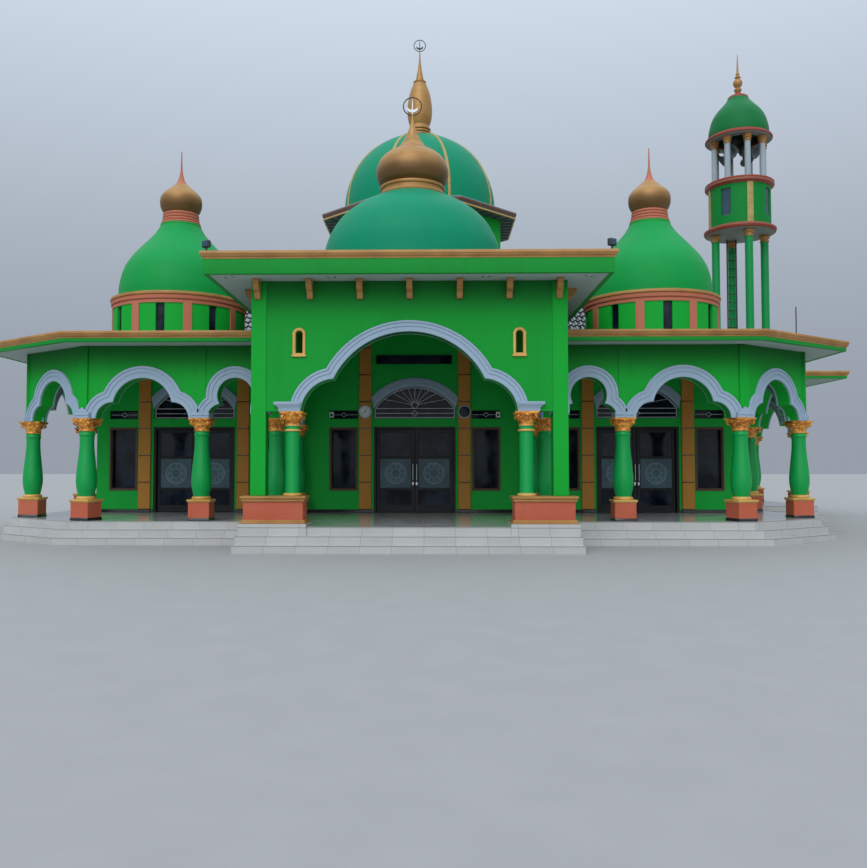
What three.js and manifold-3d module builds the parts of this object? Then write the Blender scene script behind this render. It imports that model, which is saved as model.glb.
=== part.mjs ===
// A domed village mosque: square prayer hall with a hipped tile roof and a great dome, an entrance
// portico with its own dome, two arcaded verandas with smaller domes, a side porch and a minaret.
//
// Frame: millimetres, +Z up, origin at ground level under the centre of the great dome.
// The entrance front faces -Y and +X is to the right of a visitor who looks at it.

import * as THREE from "three";
import { mergeVertices } from "three/addons/utils/BufferGeometryUtils.js";
import Module from "manifold-3d";

const wasm = await Module();
wasm.setup();

// Driving dimensions

// A gap left where a piece is cut to the form of its neighbour.
const FIT = 0.3;
// How far a cutting shape runs past the faces that it cuts.
const PAST = 50;

// Podium and steps
const RISER = 155;
const TREAD = 275;
const FLOOR = 3 * RISER;
const FLOOR_FRONT = -11850;
const FLOOR_SIDE = 9300;
const FLOOR_BACK = 9150;
const PORTICO_FLOOR_FRONT = -13600;
const PORTICO_STEP_HALF = 3300;
const PORCH_STEP_HALF = 3200;

// Prayer hall
const HALL_X = 8200;
const HALL_Y = 8100;
const HALL_WALL = 150;
const WALL_TOP = 4487;
const DOOR_CENTRES = [-5680, 0, 5680];
const DOOR_NAMES = ["left", "main", "right"];
const DOOR_HALF = 1050;
const DOOR_HEAD = 2660;
const WINDOW_NEAR = 1460;
const WINDOW_FAR = 2190;
const WINDOW_SILL = 1020;
const WINDOW_HEAD = 2645;
const TRANSOM_SILL = 2860;
const TRANSOM_HEAD = 3080;
const FANLIGHT_SILL = 2870;
const FANLIGHT_CROWN = 3710;
const FANLIGHT_RADIUS = 1270;
const PLAIN_WINDOW_CENTRES = [-6500, -3900, -1300, 1300, 3900, 6500];

// Doors and glass
const FRAME_WIDTH = 60;
const FRAME_DEPTH = 130;
const LEAF_THICK = 40;
const LEAF_SIDE_GAP = 5;
const LEAF_MEETING_GAP = 8;
const LEAF_FLOOR_GAP = 10;
// Lift-off hinges: the leaf's half of each knuckle stands on the frame's half.
const HINGE = { radius: 8, stand: 10, half: 50, plate: 30, plateThick: 6, heights: [250, 1850] };
const GLASS_THICK = 8;
const GLASS_LAP = 60;

// Hipped tile roof
const EAVE_HALF = 8400;
const EAVE_EDGE = 60;
const ROOF_PITCH = 0.65;
const ROOF_TOP_HALF = 2950;
const ROOF_TOP_SLAB = 240;
const ROOF_INNER_HALF = HALL_X - HALL_WALL;

// Great drum and dome
const DRUM_APOTHEM = 2750;
const DRUM_WALL = 200;
const DRUM_TOP = 10000;
const DRUM_WINDOW = { width: 420, sill: 8700, head: 9600 };
const DRUM_EAVE_APOTHEM = 3230;
const DRUM_EAVE_TOP = 10170;
const DOME_RADIUS = 2630;
const DOME_SPRING = 10650;
const DOME_SHELL = 120;
const FINIAL_FOOT_RADIUS = 370;

// Entrance portico
const PORTICO_HALF = 3130;
const PORTICO_FRONT = -13250;
const ARCADE_WALL = 300;
const PORTICO_TOP = 5308;
const PORTICO_SPRING = 2717;
const PORTICO_ARCH = { topZ: 2635, topR: 1690, sideX: 1450, sideZ: 2670, sideR: 720 };
const SLIT = { x: 2180, half: 75, sill: 3840, spring: 4250 };
const CANOPY_HALF = 3925;
const CANOPY_FRONT = -13950;
const CANOPY_TOP = 5745;
const CANOPY_CORNICE = 145;
const CORNICE_REACH = 60;
const PEDESTAL = { near: 2050, far: 3220, front: -13500, back: -12950, foot: 524, top: 1054 };
const PEDESTAL_REACH = 55;
const PORTICO_COLUMN_X = 2320;
const FRONT_DOME_Y = -10600;
const FRONT_NECK_FOOT = 7810;
const PORTICO_REAR_Y = -8400;

// Verandas on both sides of the portico
const COLUMN_LINE_Y = -11450;
const COLUMN_LINE_X = 8900;
const COLUMN_X = [2950, 4580, 7110];
const CANT_Y = -10150;
const SIDE_BAY_END = -7050;
const SPRING = 2680;
const CROWN = 3585;
const ROOF_UNDER = 4262;
const ROOF_OVERHANG = 800;
const ROOF_SIDE_OVERHANG = 1010;
const SLAB_CORNICE = 147;
const SIDE_DOME_X = 5845;
const SIDE_DOME_Y = -8900;
const SIDE_DRUM_RADIUS = 1580;
const SIDE_DRUM_TOP = 5480;
const SIDE_RING_RADIUS = 1650;
const SIDE_RING_TOP = 5720;

// Side porch, on the right only
const PORCH_COLUMN_X = 11600;
const PORCH_COLUMN_Y = 3600;
const PORCH_ROOF_X = 12760;
const PORCH_ROOF_Y = 4400;

// Minaret, standing on the roof of the side porch
const MINARET_X = 11220;
const MINARET_LEG_RING = 850;
const MINARET = {
  galleryUnder: 9740, roomFloor: 9900, roomTop: 11330, belfryFloor: 11530, eaveUnder: 13040,
  domeFoot: 13160,
};

// Finishes

const finish = (color, roughness, metalness = 0) =>
  new THREE.MeshStandardMaterial({ color, roughness, metalness, flatShading: true });
const finishes = {
  wall: () => finish(0x12a03c, 0.75),
  dome: () => finish(0x149a5a, 0.35),
  salmon: () => finish(0xc9694a, 0.7),
  slab: () => finish(0x1f8a44, 0.7),
  tile: () => finish(0xd8d8d4, 0.3),
  roof: () => finish(0x2c2e33, 0.4),
  bronze: () => finish(0xa8743a, 0.4, 0.6),
  frame: () => finish(0x15171a, 0.45, 0.2),
  glass: () => finish(0x26333a, 0.08),
};

// Shapes

// A geometry as an exact solid: shared corners merged, collapsed triangles dropped, faces outward.
function solid(geometry) {
  const bare = geometry.clone();
  bare.deleteAttribute("normal");
  bare.deleteAttribute("uv");
  const merged = mergeVertices(bare, 1e-3);
  const corners = merged.getAttribute("position").array;
  const index = merged.getIndex().array;
  const at = (i) => new THREE.Vector3().fromArray(corners, 3 * i);
  const triangles = [];
  let volume = 0;
  for (let i = 0; i < index.length; i += 3) {
    const [a, b, c] = index.slice(i, i + 3);
    if (a === b || b === c || c === a) continue;
    triangles.push([a, b, c]);
    volume += at(a).dot(at(b).cross(at(c)));
  }
  const outward = volume < 0 ? triangles.map(([a, b, c]) => [a, c, b]) : triangles;
  return new wasm.Manifold(new wasm.Mesh({
    numProp: 3,
    vertProperties: Float32Array.from(corners),
    triVerts: Uint32Array.from(outward.flat()),
  }));
}

const joined = (solids) => solids.reduce((sum, next) => sum.add(next));
const cut = (body, tools) => tools.reduce((rest, tool) => rest.subtract(tool), body);

// A block between two opposite corners.
function block([x0, x1], [y0, y1], [z0, z1]) {
  const geometry = new THREE.BoxGeometry(Math.abs(x1 - x0), Math.abs(y1 - y0), Math.abs(z1 - z0));
  return solid(geometry.translate((x0 + x1) / 2, (y0 + y1) / 2, (z0 + z1) / 2));
}

// A plan outline of [x, y] corners raised from z0 to z1.
function raised(plan, z0, z1) {
  const shape = new THREE.Shape(plan.map(([x, y]) => new THREE.Vector2(x, y)));
  const geometry = new THREE.ExtrudeGeometry(shape, { depth: z1 - z0, bevelEnabled: false });
  return solid(geometry.translate(0, 0, z0));
}

// An upright outline, drawn in (along, height), made `thick` deep about a centre line through (x, y)
// that runs at `angle` to the X axis.
function upright(shape, thick, { x = 0, y = 0, angle = 0 } = {}, segments = 4) {
  const settings = { depth: thick, bevelEnabled: false, curveSegments: segments };
  const geometry = new THREE.ExtrudeGeometry(shape, settings).translate(0, 0, -thick / 2);
  return solid(geometry.rotateX(Math.PI / 2).rotateZ(angle).translate(x, y, 0));
}

// A body turned about an upright axis from [radius, height] points. With few sides, flat faces look
// along the X and Y axes.
function turned(profile, sides, { x = 0, y = 0 } = {}) {
  const points = profile.map(([r, z]) => new THREE.Vector2(r, z));
  const geometry = new THREE.LatheGeometry(points, sides, Math.PI / sides);
  return solid(geometry.rotateX(Math.PI / 2).translate(x, y, 0));
}

// A round or many-sided disc, given by its radius to the corners.
const disc = (radius, sides, z0, z1, at) =>
  turned([[0, z0], [radius, z0], [radius, z1], [0, z1]], sides, at);

// The corner radius of a regular figure, from the distance to its flats.
const cornerRadius = (apothem, sides) => apothem / Math.cos(Math.PI / sides);

const rectangle = (x0, x1, z0, z1) => new THREE.Shape(
  [[x0, z0], [x1, z0], [x1, z1], [x0, z1]].map(([x, z]) => new THREE.Vector2(x, z)));

// A smooth run of [radius, height] points through a few given ones.
function smooth(points, count) {
  const curve = new THREE.SplineCurve(points.map(([r, z]) => new THREE.Vector2(r, z)));
  return curve.getPoints(count).map((p) => [p.x, p.y]);
}

// The profile of a dome shell: its outer run of points, closed at the top, and the same run moved
// inward by the shell's thickness at every other point, open at the foot.
function shellProfile(outer, thick) {
  const [topR, topZ] = outer[outer.length - 1];
  const inner = outer.map(([r, z], i) => {
    const [r0, z0] = outer[Math.max(i - 1, 0)];
    const [r1, z1] = outer[Math.min(i + 1, outer.length - 1)];
    const length = Math.hypot(r1 - r0, z1 - z0);
    const lift = i === 0 ? 0 : (thick * (r1 - r0)) / length;
    const inward = i === 0 ? thick : (thick * (z1 - z0)) / length;
    return [r - inward, z + lift];
  }).filter(([r], i) => r > thick / 2 && i % 2 === 0);
  const crown = Math.min(topZ - thick, ...inner.slice(-1).map(([, z]) => z + thick / 4));
  return [[0, crown], ...inner.reverse(), ...outer, [0, topZ]];
}

// The corners of a closed plan outline moved outward by a distance (the outline runs anticlockwise).
function outset(plan, distance) {
  const count = plan.length;
  return plan.map((corner, i) => {
    const before = plan[(i + count - 1) % count];
    const after = plan[(i + 1) % count];
    return mitre(before, corner, after, distance);
  });
}

// A corner between two straight runs, moved to their right by a distance.
function mitre(before, corner, after, distance) {
  const u = new THREE.Vector2(corner[0] - before[0], corner[1] - before[1]).normalize();
  const v = new THREE.Vector2(after[0] - corner[0], after[1] - corner[1]).normalize();
  const turn = 1 + u.dot(v);
  const x = corner[0] + (distance * (u.y + v.y)) / turn;
  const y = corner[1] - (distance * (u.x + v.x)) / turn;
  return [x, y];
}

// The plan of a wall of even thickness along a line of corners.
function wallPlan(line, thick) {
  const side = (distance) => line.map((corner, i) => {
    const before = line[i - 1] ?? corner.map((value, axis) => 2 * value - line[i + 1][axis]);
    const after = line[i + 1] ?? corner.map((value, axis) => 2 * value - line[i - 1][axis]);
    return mitre(before, corner, after, distance);
  });
  return [...side(thick / 2), ...side(-thick / 2).reverse()];
}

const mirrored = (plan) => plan.map(([x, y]) => [-x, y]).reverse();

// Scene

const group = new THREE.Group();

// Adds a solid as a named piece.
function piece(name, body, material, parent = group) {
  const { vertProperties, triVerts } = body.getMesh();
  const geometry = new THREE.BufferGeometry();
  geometry.setAttribute("position", new THREE.BufferAttribute(Float32Array.from(vertProperties), 3));
  geometry.setIndex(new THREE.BufferAttribute(Uint32Array.from(triVerts), 1));
  geometry.computeVertexNormals();
  const mesh = new THREE.Mesh(geometry, material);
  mesh.name = name;
  parent.add(mesh);
  return mesh;
}

// Adds a piece of the right-hand side and its mirror image on the left.
function pair(name, body, material) {
  piece(`right_${name}`, body, material());
  const { vertProperties, triVerts } = body.getMesh();
  const geometry = new THREE.BufferGeometry();
  geometry.setAttribute("position", new THREE.BufferAttribute(Float32Array.from(vertProperties), 3));
  geometry.setIndex(new THREE.BufferAttribute(Uint32Array.from(triVerts), 1));
  piece(`left_${name}`, solid(geometry.scale(-1, 1, 1)), material());
}

// Arches

// The opening of a three-lobed arch down to `base`, drawn about its own middle: a broad crown circle
// between two side circles, which meet it in cusps.
function lobedArch({ topZ, topR, sideX, sideZ, sideR }, spring, base) {
  const apart = Math.hypot(sideX, sideZ - topZ);
  const tilt = Math.atan2(sideZ - topZ, sideX);
  const reach = Math.acos((apart ** 2 + topR ** 2 - sideR ** 2) / (2 * apart * topR));
  const cusp = [topR * Math.cos(tilt + reach), topZ + topR * Math.sin(tilt + reach)];
  const cuspAngle = Math.atan2(cusp[1] - sideZ, cusp[0] - sideX);
  const footAngle = Math.asin((spring - sideZ) / sideR);
  const half = sideX + sideR * Math.cos(footAngle);
  const shape = new THREE.Shape();
  shape.moveTo(-half, base);
  shape.lineTo(half, base);
  shape.lineTo(half, spring);
  shape.absarc(sideX, sideZ, sideR, footAngle, cuspAngle, false);
  shape.absarc(0, topZ, topR, tilt + reach, Math.PI - tilt - reach, false);
  shape.absarc(-sideX, sideZ, sideR, Math.PI - cuspAngle, Math.PI - footAngle, false);
  shape.lineTo(-half, base);
  return shape;
}

// The veranda arch of a given half span, with side lobes of one size and a crown at one height.
function verandaArch(half) {
  const topR = 0.65 * half;
  const sideR = Math.min(385, 0.55 * half);
  return { topZ: CROWN - topR, topR, sideX: half - sideR, sideZ: SPRING - 10, sideR };
}

// The cutting shape of a veranda arch about a point of a wall's centre line.
const verandaCut = (half, place) =>
  upright(lobedArch(verandaArch(half), SPRING, SPRING - PAST), ARCADE_WALL + 2 * PAST, place);

// Podium

// The canted corner of the right veranda moved outward by a reach: its front end, and the point where it
// meets the side plane at sideX.
function cant(reach, sideX) {
  const front = [COLUMN_X[2], COLUMN_LINE_Y];
  const side = [COLUMN_LINE_X, CANT_Y];
  const start = mitre([COLUMN_X[0], COLUMN_LINE_Y], front, side, reach);
  const slope = (side[1] - front[1]) / (side[0] - front[0]);
  return [start, [sideX, start[1] + (sideX - start[0]) * slope]];
}

// The floor, and two steps that run along its front and canted edges only; the portico and the side
// porch have flights of their own.
function podium() {
  const margin = COLUMN_LINE_Y - FLOOR_FRONT;
  const porchX = PORCH_COLUMN_X + margin;
  const porchY = PORCH_COLUMN_Y + margin;
  const layers = [0, 1, 2].map((step) => {
    const reach = step * TREAD;
    const height = [0, FLOOR - step * RISER];
    const ends = cant(margin + reach, FLOOR_SIDE);
    const outline = [...mirrored(ends), ...ends, [FLOOR_SIDE, FLOOR_BACK], [-FLOOR_SIDE, FLOOR_BACK]];
    return joined([
      raised(outline, ...height),
      block([-PORTICO_STEP_HALF, PORTICO_STEP_HALF], [PORTICO_FLOOR_FRONT - reach, FLOOR_FRONT + PAST],
        height),
      block([FLOOR_SIDE - PAST, porchX + reach], [-PORCH_STEP_HALF, PORCH_STEP_HALF], height),
    ]);
  });
  const porchFloor = block([FLOOR_SIDE - PAST, porchX], [-porchY, porchY], [0, FLOOR]);
  const plinths = [-1, 1].map((side) => block(
    [side * (PEDESTAL.near - 80), side * PORTICO_STEP_HALF],
    [PEDESTAL.front - 140, PEDESTAL.back + 80], [0, PEDESTAL.foot]));
  return joined([...layers, porchFloor, ...plinths]);
}

// Hall walls

const frontFaces = [-HALL_Y, -HALL_Y + HALL_WALL];
const windowCuts = (centre, height, faces) => [-1, 1].map((side) => block(
  [centre + side * WINDOW_NEAR, centre + side * WINDOW_FAR], [faces[0] - PAST, faces[1] + PAST], height));

// The four lower stretches of the front wall, between and beside the doorways.
function frontPiers() {
  const edges = [-HALL_X, ...DOOR_CENTRES.flatMap((c) => [c - DOOR_HALF, c + DOOR_HALF]), HALL_X];
  const windows = DOOR_CENTRES.flatMap((c) => windowCuts(c, [WINDOW_SILL, WINDOW_HEAD], frontFaces));
  for (let i = 0; i < 4; i += 1) {
    const pier = block([edges[2 * i], edges[2 * i + 1]], frontFaces, [FLOOR, DOOR_HEAD]);
    piece(`front_wall_${i + 1}`, cut(pier, windows), finishes.wall());
  }
}

// The fanlight over a door: a low rectangle under a segment of a circle.
function fanlight(centre) {
  const middle = FANLIGHT_CROWN - FANLIGHT_RADIUS;
  const start = Math.acos(DOOR_HALF / FANLIGHT_RADIUS);
  const shape = new THREE.Shape();
  shape.moveTo(-DOOR_HALF, FANLIGHT_SILL);
  shape.lineTo(DOOR_HALF, FANLIGHT_SILL);
  shape.absarc(0, middle, FANLIGHT_RADIUS, start, Math.PI - start, false);
  shape.lineTo(-DOOR_HALF, FANLIGHT_SILL);
  return upright(shape, HALL_WALL + 2 * PAST, { x: centre, y: -HALL_Y + HALL_WALL / 2 }, 5);
}

// The wall over the doors, which rises in the middle to carry the back of the portico roof.
function frontUpperWall() {
  const cheekBack = -EAVE_HALF + (PORTICO_TOP - WALL_TOP - EAVE_EDGE) / ROOF_PITCH + PAST;
  const body = joined([
    block([-HALL_X, HALL_X], frontFaces, [DOOR_HEAD, WALL_TOP]),
    block([-PORTICO_HALF, PORTICO_HALF], frontFaces, [DOOR_HEAD, PORTICO_TOP]),
    ...[-1, 1].map((side) => block([side * (PORTICO_HALF - ARCADE_WALL), side * PORTICO_HALF],
      [-HALL_Y, cheekBack], [WALL_TOP, PORTICO_TOP])),
  ]);
  const roofBehind = cut(roofForm(FIT), [
    block([-EAVE_HALF, EAVE_HALF], [-EAVE_HALF - PAST, frontFaces[1]], [0, CANOPY_TOP])]);
  const openings = DOOR_CENTRES.flatMap((c) =>
    [fanlight(c), ...windowCuts(c, [TRANSOM_SILL, TRANSOM_HEAD], frontFaces)]);
  return cut(body, [roofBehind, ...openings]);
}

// A plain hall wall with the front's windows and transoms repeated along it.
function windowedWall(half, place) {
  const wall = upright(rectangle(-half, half, FLOOR, WALL_TOP), HALL_WALL, place);
  const width = (WINDOW_FAR - WINDOW_NEAR) / 2;
  const heights = [[WINDOW_SILL, WINDOW_HEAD], [TRANSOM_SILL, TRANSOM_HEAD]];
  return cut(wall, PLAIN_WINDOW_CENTRES.flatMap((centre) => heights.map(([sill, head]) =>
    upright(rectangle(centre - width, centre + width, sill, head), HALL_WALL + 2 * PAST, place))));
}

// One sheet of glass behind all the front windows, cut away at the doorways.
function frontGlass() {
  const strip = block([DOOR_CENTRES[0] - WINDOW_FAR - GLASS_LAP, DOOR_CENTRES[2] + WINDOW_FAR + GLASS_LAP],
    [frontFaces[1], frontFaces[1] + GLASS_THICK], [TRANSOM_SILL - GLASS_LAP, FANLIGHT_CROWN + GLASS_LAP]);
  const tabs = DOOR_CENTRES.flatMap((c) => [-1, 1].map((side) => block(
    [c + side * (WINDOW_NEAR - GLASS_LAP), c + side * (WINDOW_FAR + GLASS_LAP)],
    [frontFaces[1], frontFaces[1] + GLASS_THICK], [WINDOW_SILL - GLASS_LAP, TRANSOM_SILL])));
  return joined([strip, ...tabs]);
}

function hallWalls() {
  frontPiers();
  piece("front_wall_over_doors", frontUpperWall(), finishes.wall());
  const sidePlace = { x: HALL_X - HALL_WALL / 2, angle: Math.PI / 2 };
  pair("side_wall", windowedWall(HALL_Y - HALL_WALL, sidePlace), finishes.wall);
  piece("back_wall", windowedWall(HALL_X, { y: HALL_Y - HALL_WALL / 2 }), finishes.wall());
  piece("front_window_glass", frontGlass(), finishes.glass());
  const reach = PLAIN_WINDOW_CENTRES[5] + (WINDOW_FAR - WINDOW_NEAR) / 2 + GLASS_LAP;
  const sheetHeight = [WINDOW_SILL - GLASS_LAP, TRANSOM_HEAD + GLASS_LAP];
  const insideX = [HALL_X - HALL_WALL - GLASS_THICK, HALL_X - HALL_WALL];
  const insideY = [HALL_Y - HALL_WALL - GLASS_THICK, HALL_Y - HALL_WALL];
  pair("window_glass", block(insideX, [-reach, reach], sheetHeight), finishes.glass);
  piece("back_window_glass", block([-reach, reach], insideY, sheetHeight), finishes.glass());
}

// Doors

// Half of a hinge about the axis at x: a knuckle from z0 up and a plate on the face to its `hand` side.
function hingeHalf(hand, x, z0) {
  const { radius, stand, half, plate, plateThick } = HINGE;
  const plateFaces = [-stand - plateThick / 3, -stand + (2 * plateThick) / 3];
  return joined([
    disc(radius, 8, z0, z0 + half - FIT, { x }),
    block([x, x + hand * (LEAF_SIDE_GAP / 2 + plate)], plateFaces, [z0, z0 + half - FIT]),
  ]);
}

// A door frame of two jambs and a head, and its two leaves, which swing into the hall.
function door(name, centre) {
  const inner = DOOR_HALF - FRAME_WIDTH;
  const axisX = inner - LEAF_SIDE_GAP / 2;
  const axisY = frontFaces[1] + HINGE.stand;
  const leafFoot = FLOOR + LEAF_FLOOR_GAP;
  const faces = [-HINGE.stand - FRAME_DEPTH, -HINGE.stand];
  const frameHead = DOOR_HEAD - FRAME_WIDTH;
  const opening = block([-inner, inner], [faces[0] - PAST, faces[1] + PAST], [FLOOR - PAST, frameHead]);
  const blank = block([-DOOR_HALF, DOOR_HALF], faces, [FLOOR, DOOR_HEAD]);
  const frameHinges = [-1, 1].flatMap((side) => HINGE.heights.map((height) =>
    hingeHalf(side, side * axisX, leafFoot + height)));
  const body = joined([cut(blank, [opening]), ...frameHinges]);
  const frame = piece(`${name}_door_frame`, body, finishes.frame());
  frame.position.set(centre, axisY, 0);

  const height = frameHead - LEAF_SIDE_GAP - leafFoot;
  const width = inner - LEAF_SIDE_GAP - LEAF_MEETING_GAP / 2;
  for (const [side, label] of [[-1, "left"], [1, "right"]]) {
    const near = (-side * LEAF_SIDE_GAP) / 2;
    const panel = block([near, near - side * width], [faces[1] - LEAF_THICK, faces[1]], [0, height]);
    const hinges = HINGE.heights.map((z) => hingeHalf(-side, 0, z + HINGE.half));
    const leaf = piece(`${name}_door_${label}_leaf`, joined([panel, ...hinges]), finishes.frame());
    leaf.position.set(centre + side * axisX, axisY, leafFoot);
  }
}

// Roof of the hall

// A square frustum about the Z axis, from its half width at the foot to that at the top.
function squareFrustum(footHalf, z0, topHalf, z1) {
  const root2 = Math.SQRT2;
  return turned([[0, z0], [footHalf * root2, z0], [topHalf * root2, z1], [0, z1]], 4);
}

const roofTop = WALL_TOP + EAVE_EDGE + (EAVE_HALF - ROOF_TOP_HALF) * ROOF_PITCH;

// The outer form of the hipped roof, grown outward by a small gap.
function roofForm(gap) {
  return joined([
    block([-EAVE_HALF - gap, EAVE_HALF + gap], [-EAVE_HALF - gap, EAVE_HALF + gap],
      [WALL_TOP - gap, WALL_TOP + EAVE_EDGE + gap]),
    squareFrustum(EAVE_HALF + gap, WALL_TOP + EAVE_EDGE, ROOF_TOP_HALF + gap, roofTop + gap),
  ]);
}

function tileRoof() {
  const ceiling = roofTop - ROOF_TOP_SLAB;
  const ceilingHalf = ROOF_INNER_HALF - (ceiling - WALL_TOP) / ROOF_PITCH;
  const hole = cornerRadius(DRUM_APOTHEM - DRUM_WALL - 100, 8);
  return cut(roofForm(0), [
    squareFrustum(ROOF_INNER_HALF + PAST / ROOF_PITCH, WALL_TOP - PAST, ceilingHalf, ceiling),
    disc(hole, 8, ceiling - PAST, roofTop + PAST),
    block([-PORTICO_HALF - FIT, PORTICO_HALF + FIT], [-EAVE_HALF - PAST, frontFaces[1] + FIT],
      [0, PORTICO_TOP]),
    ...[-1, 1].map((side) => disc(SIDE_DRUM_RADIUS + 2, 24, WALL_TOP - PAST, SIDE_RING_TOP,
      { x: side * SIDE_DOME_X, y: SIDE_DOME_Y })),
  ]);
}

// The octagonal drum with a window in each face, and the eave slab that shades it.
function greatDrum() {
  const ring = (apothem, z0, z1) => disc(cornerRadius(apothem, 8), 8, z0, z1);
  const body = joined([
    ring(DRUM_APOTHEM, roofTop, DRUM_TOP), ring(DRUM_EAVE_APOTHEM, DRUM_TOP, DRUM_EAVE_TOP),
  ]);
  const half = DRUM_WINDOW.width / 2;
  const slot = rectangle(-half, half, DRUM_WINDOW.sill, DRUM_WINDOW.head);
  const slots = [0, 1, 2, 3].map((k) => upright(slot, 2 * DRUM_EAVE_APOTHEM, { angle: (k * Math.PI) / 4 }));
  const hollow = DRUM_APOTHEM - DRUM_WALL;
  return cut(body, [ring(hollow, roofTop - PAST, DRUM_EAVE_TOP + PAST), ...slots]);
}

// The great dome: a short upright foot, then a hemisphere that ends at the foot of the finial.
function greatDome() {
  const top = Math.acos(FINIAL_FOOT_RADIUS / DOME_RADIUS);
  const steps = 8;
  const arc = Array.from({ length: steps + 1 }, (_, i) => {
    const angle = (top * i) / steps;
    return [DOME_RADIUS * Math.cos(angle), DOME_SPRING + DOME_RADIUS * Math.sin(angle)];
  });
  const outer = [[DOME_RADIUS, DRUM_EAVE_TOP], ...arc];
  return { body: turned(shellProfile(outer, DOME_SHELL), 24), top: arc[steps][1] };
}

// The ring at the tip of a finial, as a flat upright hoop.
function hoop(radius, band, thick, z, y = 0) {
  const shape = new THREE.Shape();
  shape.absarc(0, z, radius, 0, 2 * Math.PI, false);
  const hole = new THREE.Path();
  hole.absarc(0, z, radius - band, 0, 2 * Math.PI, true);
  shape.holes.push(hole);
  return upright(shape, thick, { y }, 6);
}

// A long turned vase with collars at its foot and shoulder, a spike and a hoop.
function greatFinial(foot) {
  const profile = [
    [0, foot], [FINIAL_FOOT_RADIUS, foot], [370, 13600], [335, 13680], [380, 13790], [426, 14010],
    [437, 14300], [408, 14600], [338, 14950], [205, 15290], [200, 15370], [110, 15520], [45, 15900],
    [18, 16420], [0, 16420],
  ];
  return joined([turned(profile, 12), hoop(220, 28, 30, 16620)]);
}

// Portico

function porticoFrontWall() {
  const y = PORTICO_FRONT + ARCADE_WALL / 2;
  const wall = block([-PORTICO_HALF, PORTICO_HALF], [PORTICO_FRONT, PORTICO_FRONT + ARCADE_WALL],
    [PORTICO_SPRING, PORTICO_TOP]);
  const strips = [-1, 1].map((side) => block([side * (PORTICO_HALF - ARCADE_WALL), side * PORTICO_HALF],
    [PORTICO_FRONT, PORTICO_FRONT + ARCADE_WALL], [PEDESTAL.top, PORTICO_SPRING]));
  const arch = upright(lobedArch(PORTICO_ARCH, PORTICO_SPRING, PORTICO_SPRING - PAST),
    ARCADE_WALL + 2 * PAST, { y }, 6);
  const slits = [-1, 1].map((side) => {
    const shape = new THREE.Shape();
    shape.moveTo(-SLIT.half, SLIT.sill);
    shape.lineTo(SLIT.half, SLIT.sill);
    shape.absarc(0, SLIT.spring, SLIT.half, 0, Math.PI, false);
    shape.lineTo(-SLIT.half, SLIT.sill);
    return upright(shape, ARCADE_WALL + 2 * PAST, { x: side * SLIT.x, y }, 3);
  });
  return cut(joined([wall, ...strips]), [arch, ...slits]);
}

// A side wall of the portico: a narrow arch at the front, a wide one behind the shared column, and a
// rear column, a little slimmer than the others, in front of the hall.
function porticoSideWall() {
  const x = PORTICO_HALF - ARCADE_WALL / 2;
  const front = PORTICO_FRONT + ARCADE_WALL;
  const columnFront = COLUMN_LINE_Y - ARCADE_WALL / 2;
  const rearMiddle = (COLUMN_LINE_Y + PORTICO_REAR_Y) / 2;
  const angle = Math.PI / 2;
  const wall = block([PORTICO_HALF - ARCADE_WALL, PORTICO_HALF], [front, -HALL_Y], [SPRING, PORTICO_TOP]);
  const arches = [
    verandaCut((columnFront - front) / 2 - 60, { x, y: (front + columnFront) / 2, angle }),
    verandaCut((PORTICO_REAR_Y - COLUMN_LINE_Y) / 2 - 225, { x, y: rearMiddle, angle }),
  ];
  const rear = column({ slimmer: 14, capital: 198 }).translate([COLUMN_X[0], PORTICO_REAR_Y, FLOOR]);
  return joined([cut(wall, arches), rear]);
}

// The corner pedestal of the portico with the round column that carries the arch.
function porticoPier() {
  const { near, far, front, back, foot, top } = PEDESTAL;
  const reach = PEDESTAL_REACH;
  const slab = (grow, z0, z1) => block([near - grow, far + grow], [front - grow, back], [z0, z1]);
  const columnY = PORTICO_FRONT + ARCADE_WALL / 2;
  const column = [
    [0, top], [190, top], [190, 1105], [140, 1130], [140, 2330], [170, 2350], [135, 2390], [135, 2450],
    [225, 2640], [0, 2640],
  ];
  const side = 240;
  return joined([
    slab(reach, foot, foot + 70), slab(0, foot + 70, top - 60), slab(reach, top - 60, top),
    turned(column, 12, { x: PORTICO_COLUMN_X, y: columnY }),
    block([PORTICO_COLUMN_X - side, PORTICO_COLUMN_X + side], [columnY - side, columnY + side],
      [2640, PORTICO_SPRING]),
  ]);
}

// The flat portico roof with its cornice, cut where it runs into the tile roof.
function porticoCanopy() {
  const back = -EAVE_HALF + (CANOPY_TOP - WALL_TOP - EAVE_EDGE) / ROOF_PITCH + PAST;
  const grown = CANOPY_HALF + CORNICE_REACH;
  const slab = joined([
    block([-CANOPY_HALF, CANOPY_HALF], [CANOPY_FRONT, back], [PORTICO_TOP, CANOPY_TOP]),
    block([-grown, grown], [CANOPY_FRONT - CORNICE_REACH, back], [CANOPY_TOP - CANOPY_CORNICE, CANOPY_TOP]),
  ]);
  return slab.subtract(roofForm(FIT));
}

// The portico's dome, a little flatter than a half ellipse, and its bulb finial.
function frontDome() {
  const outer = smooth([
    [1990, CANOPY_TOP], [2030, 6050], [1965, 6620], [1700, 7150], [1265, 7530], [720, FRONT_NECK_FOOT],
  ], 8);
  return turned(shellProfile(outer, 100), 24, { y: FRONT_DOME_Y });
}

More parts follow.
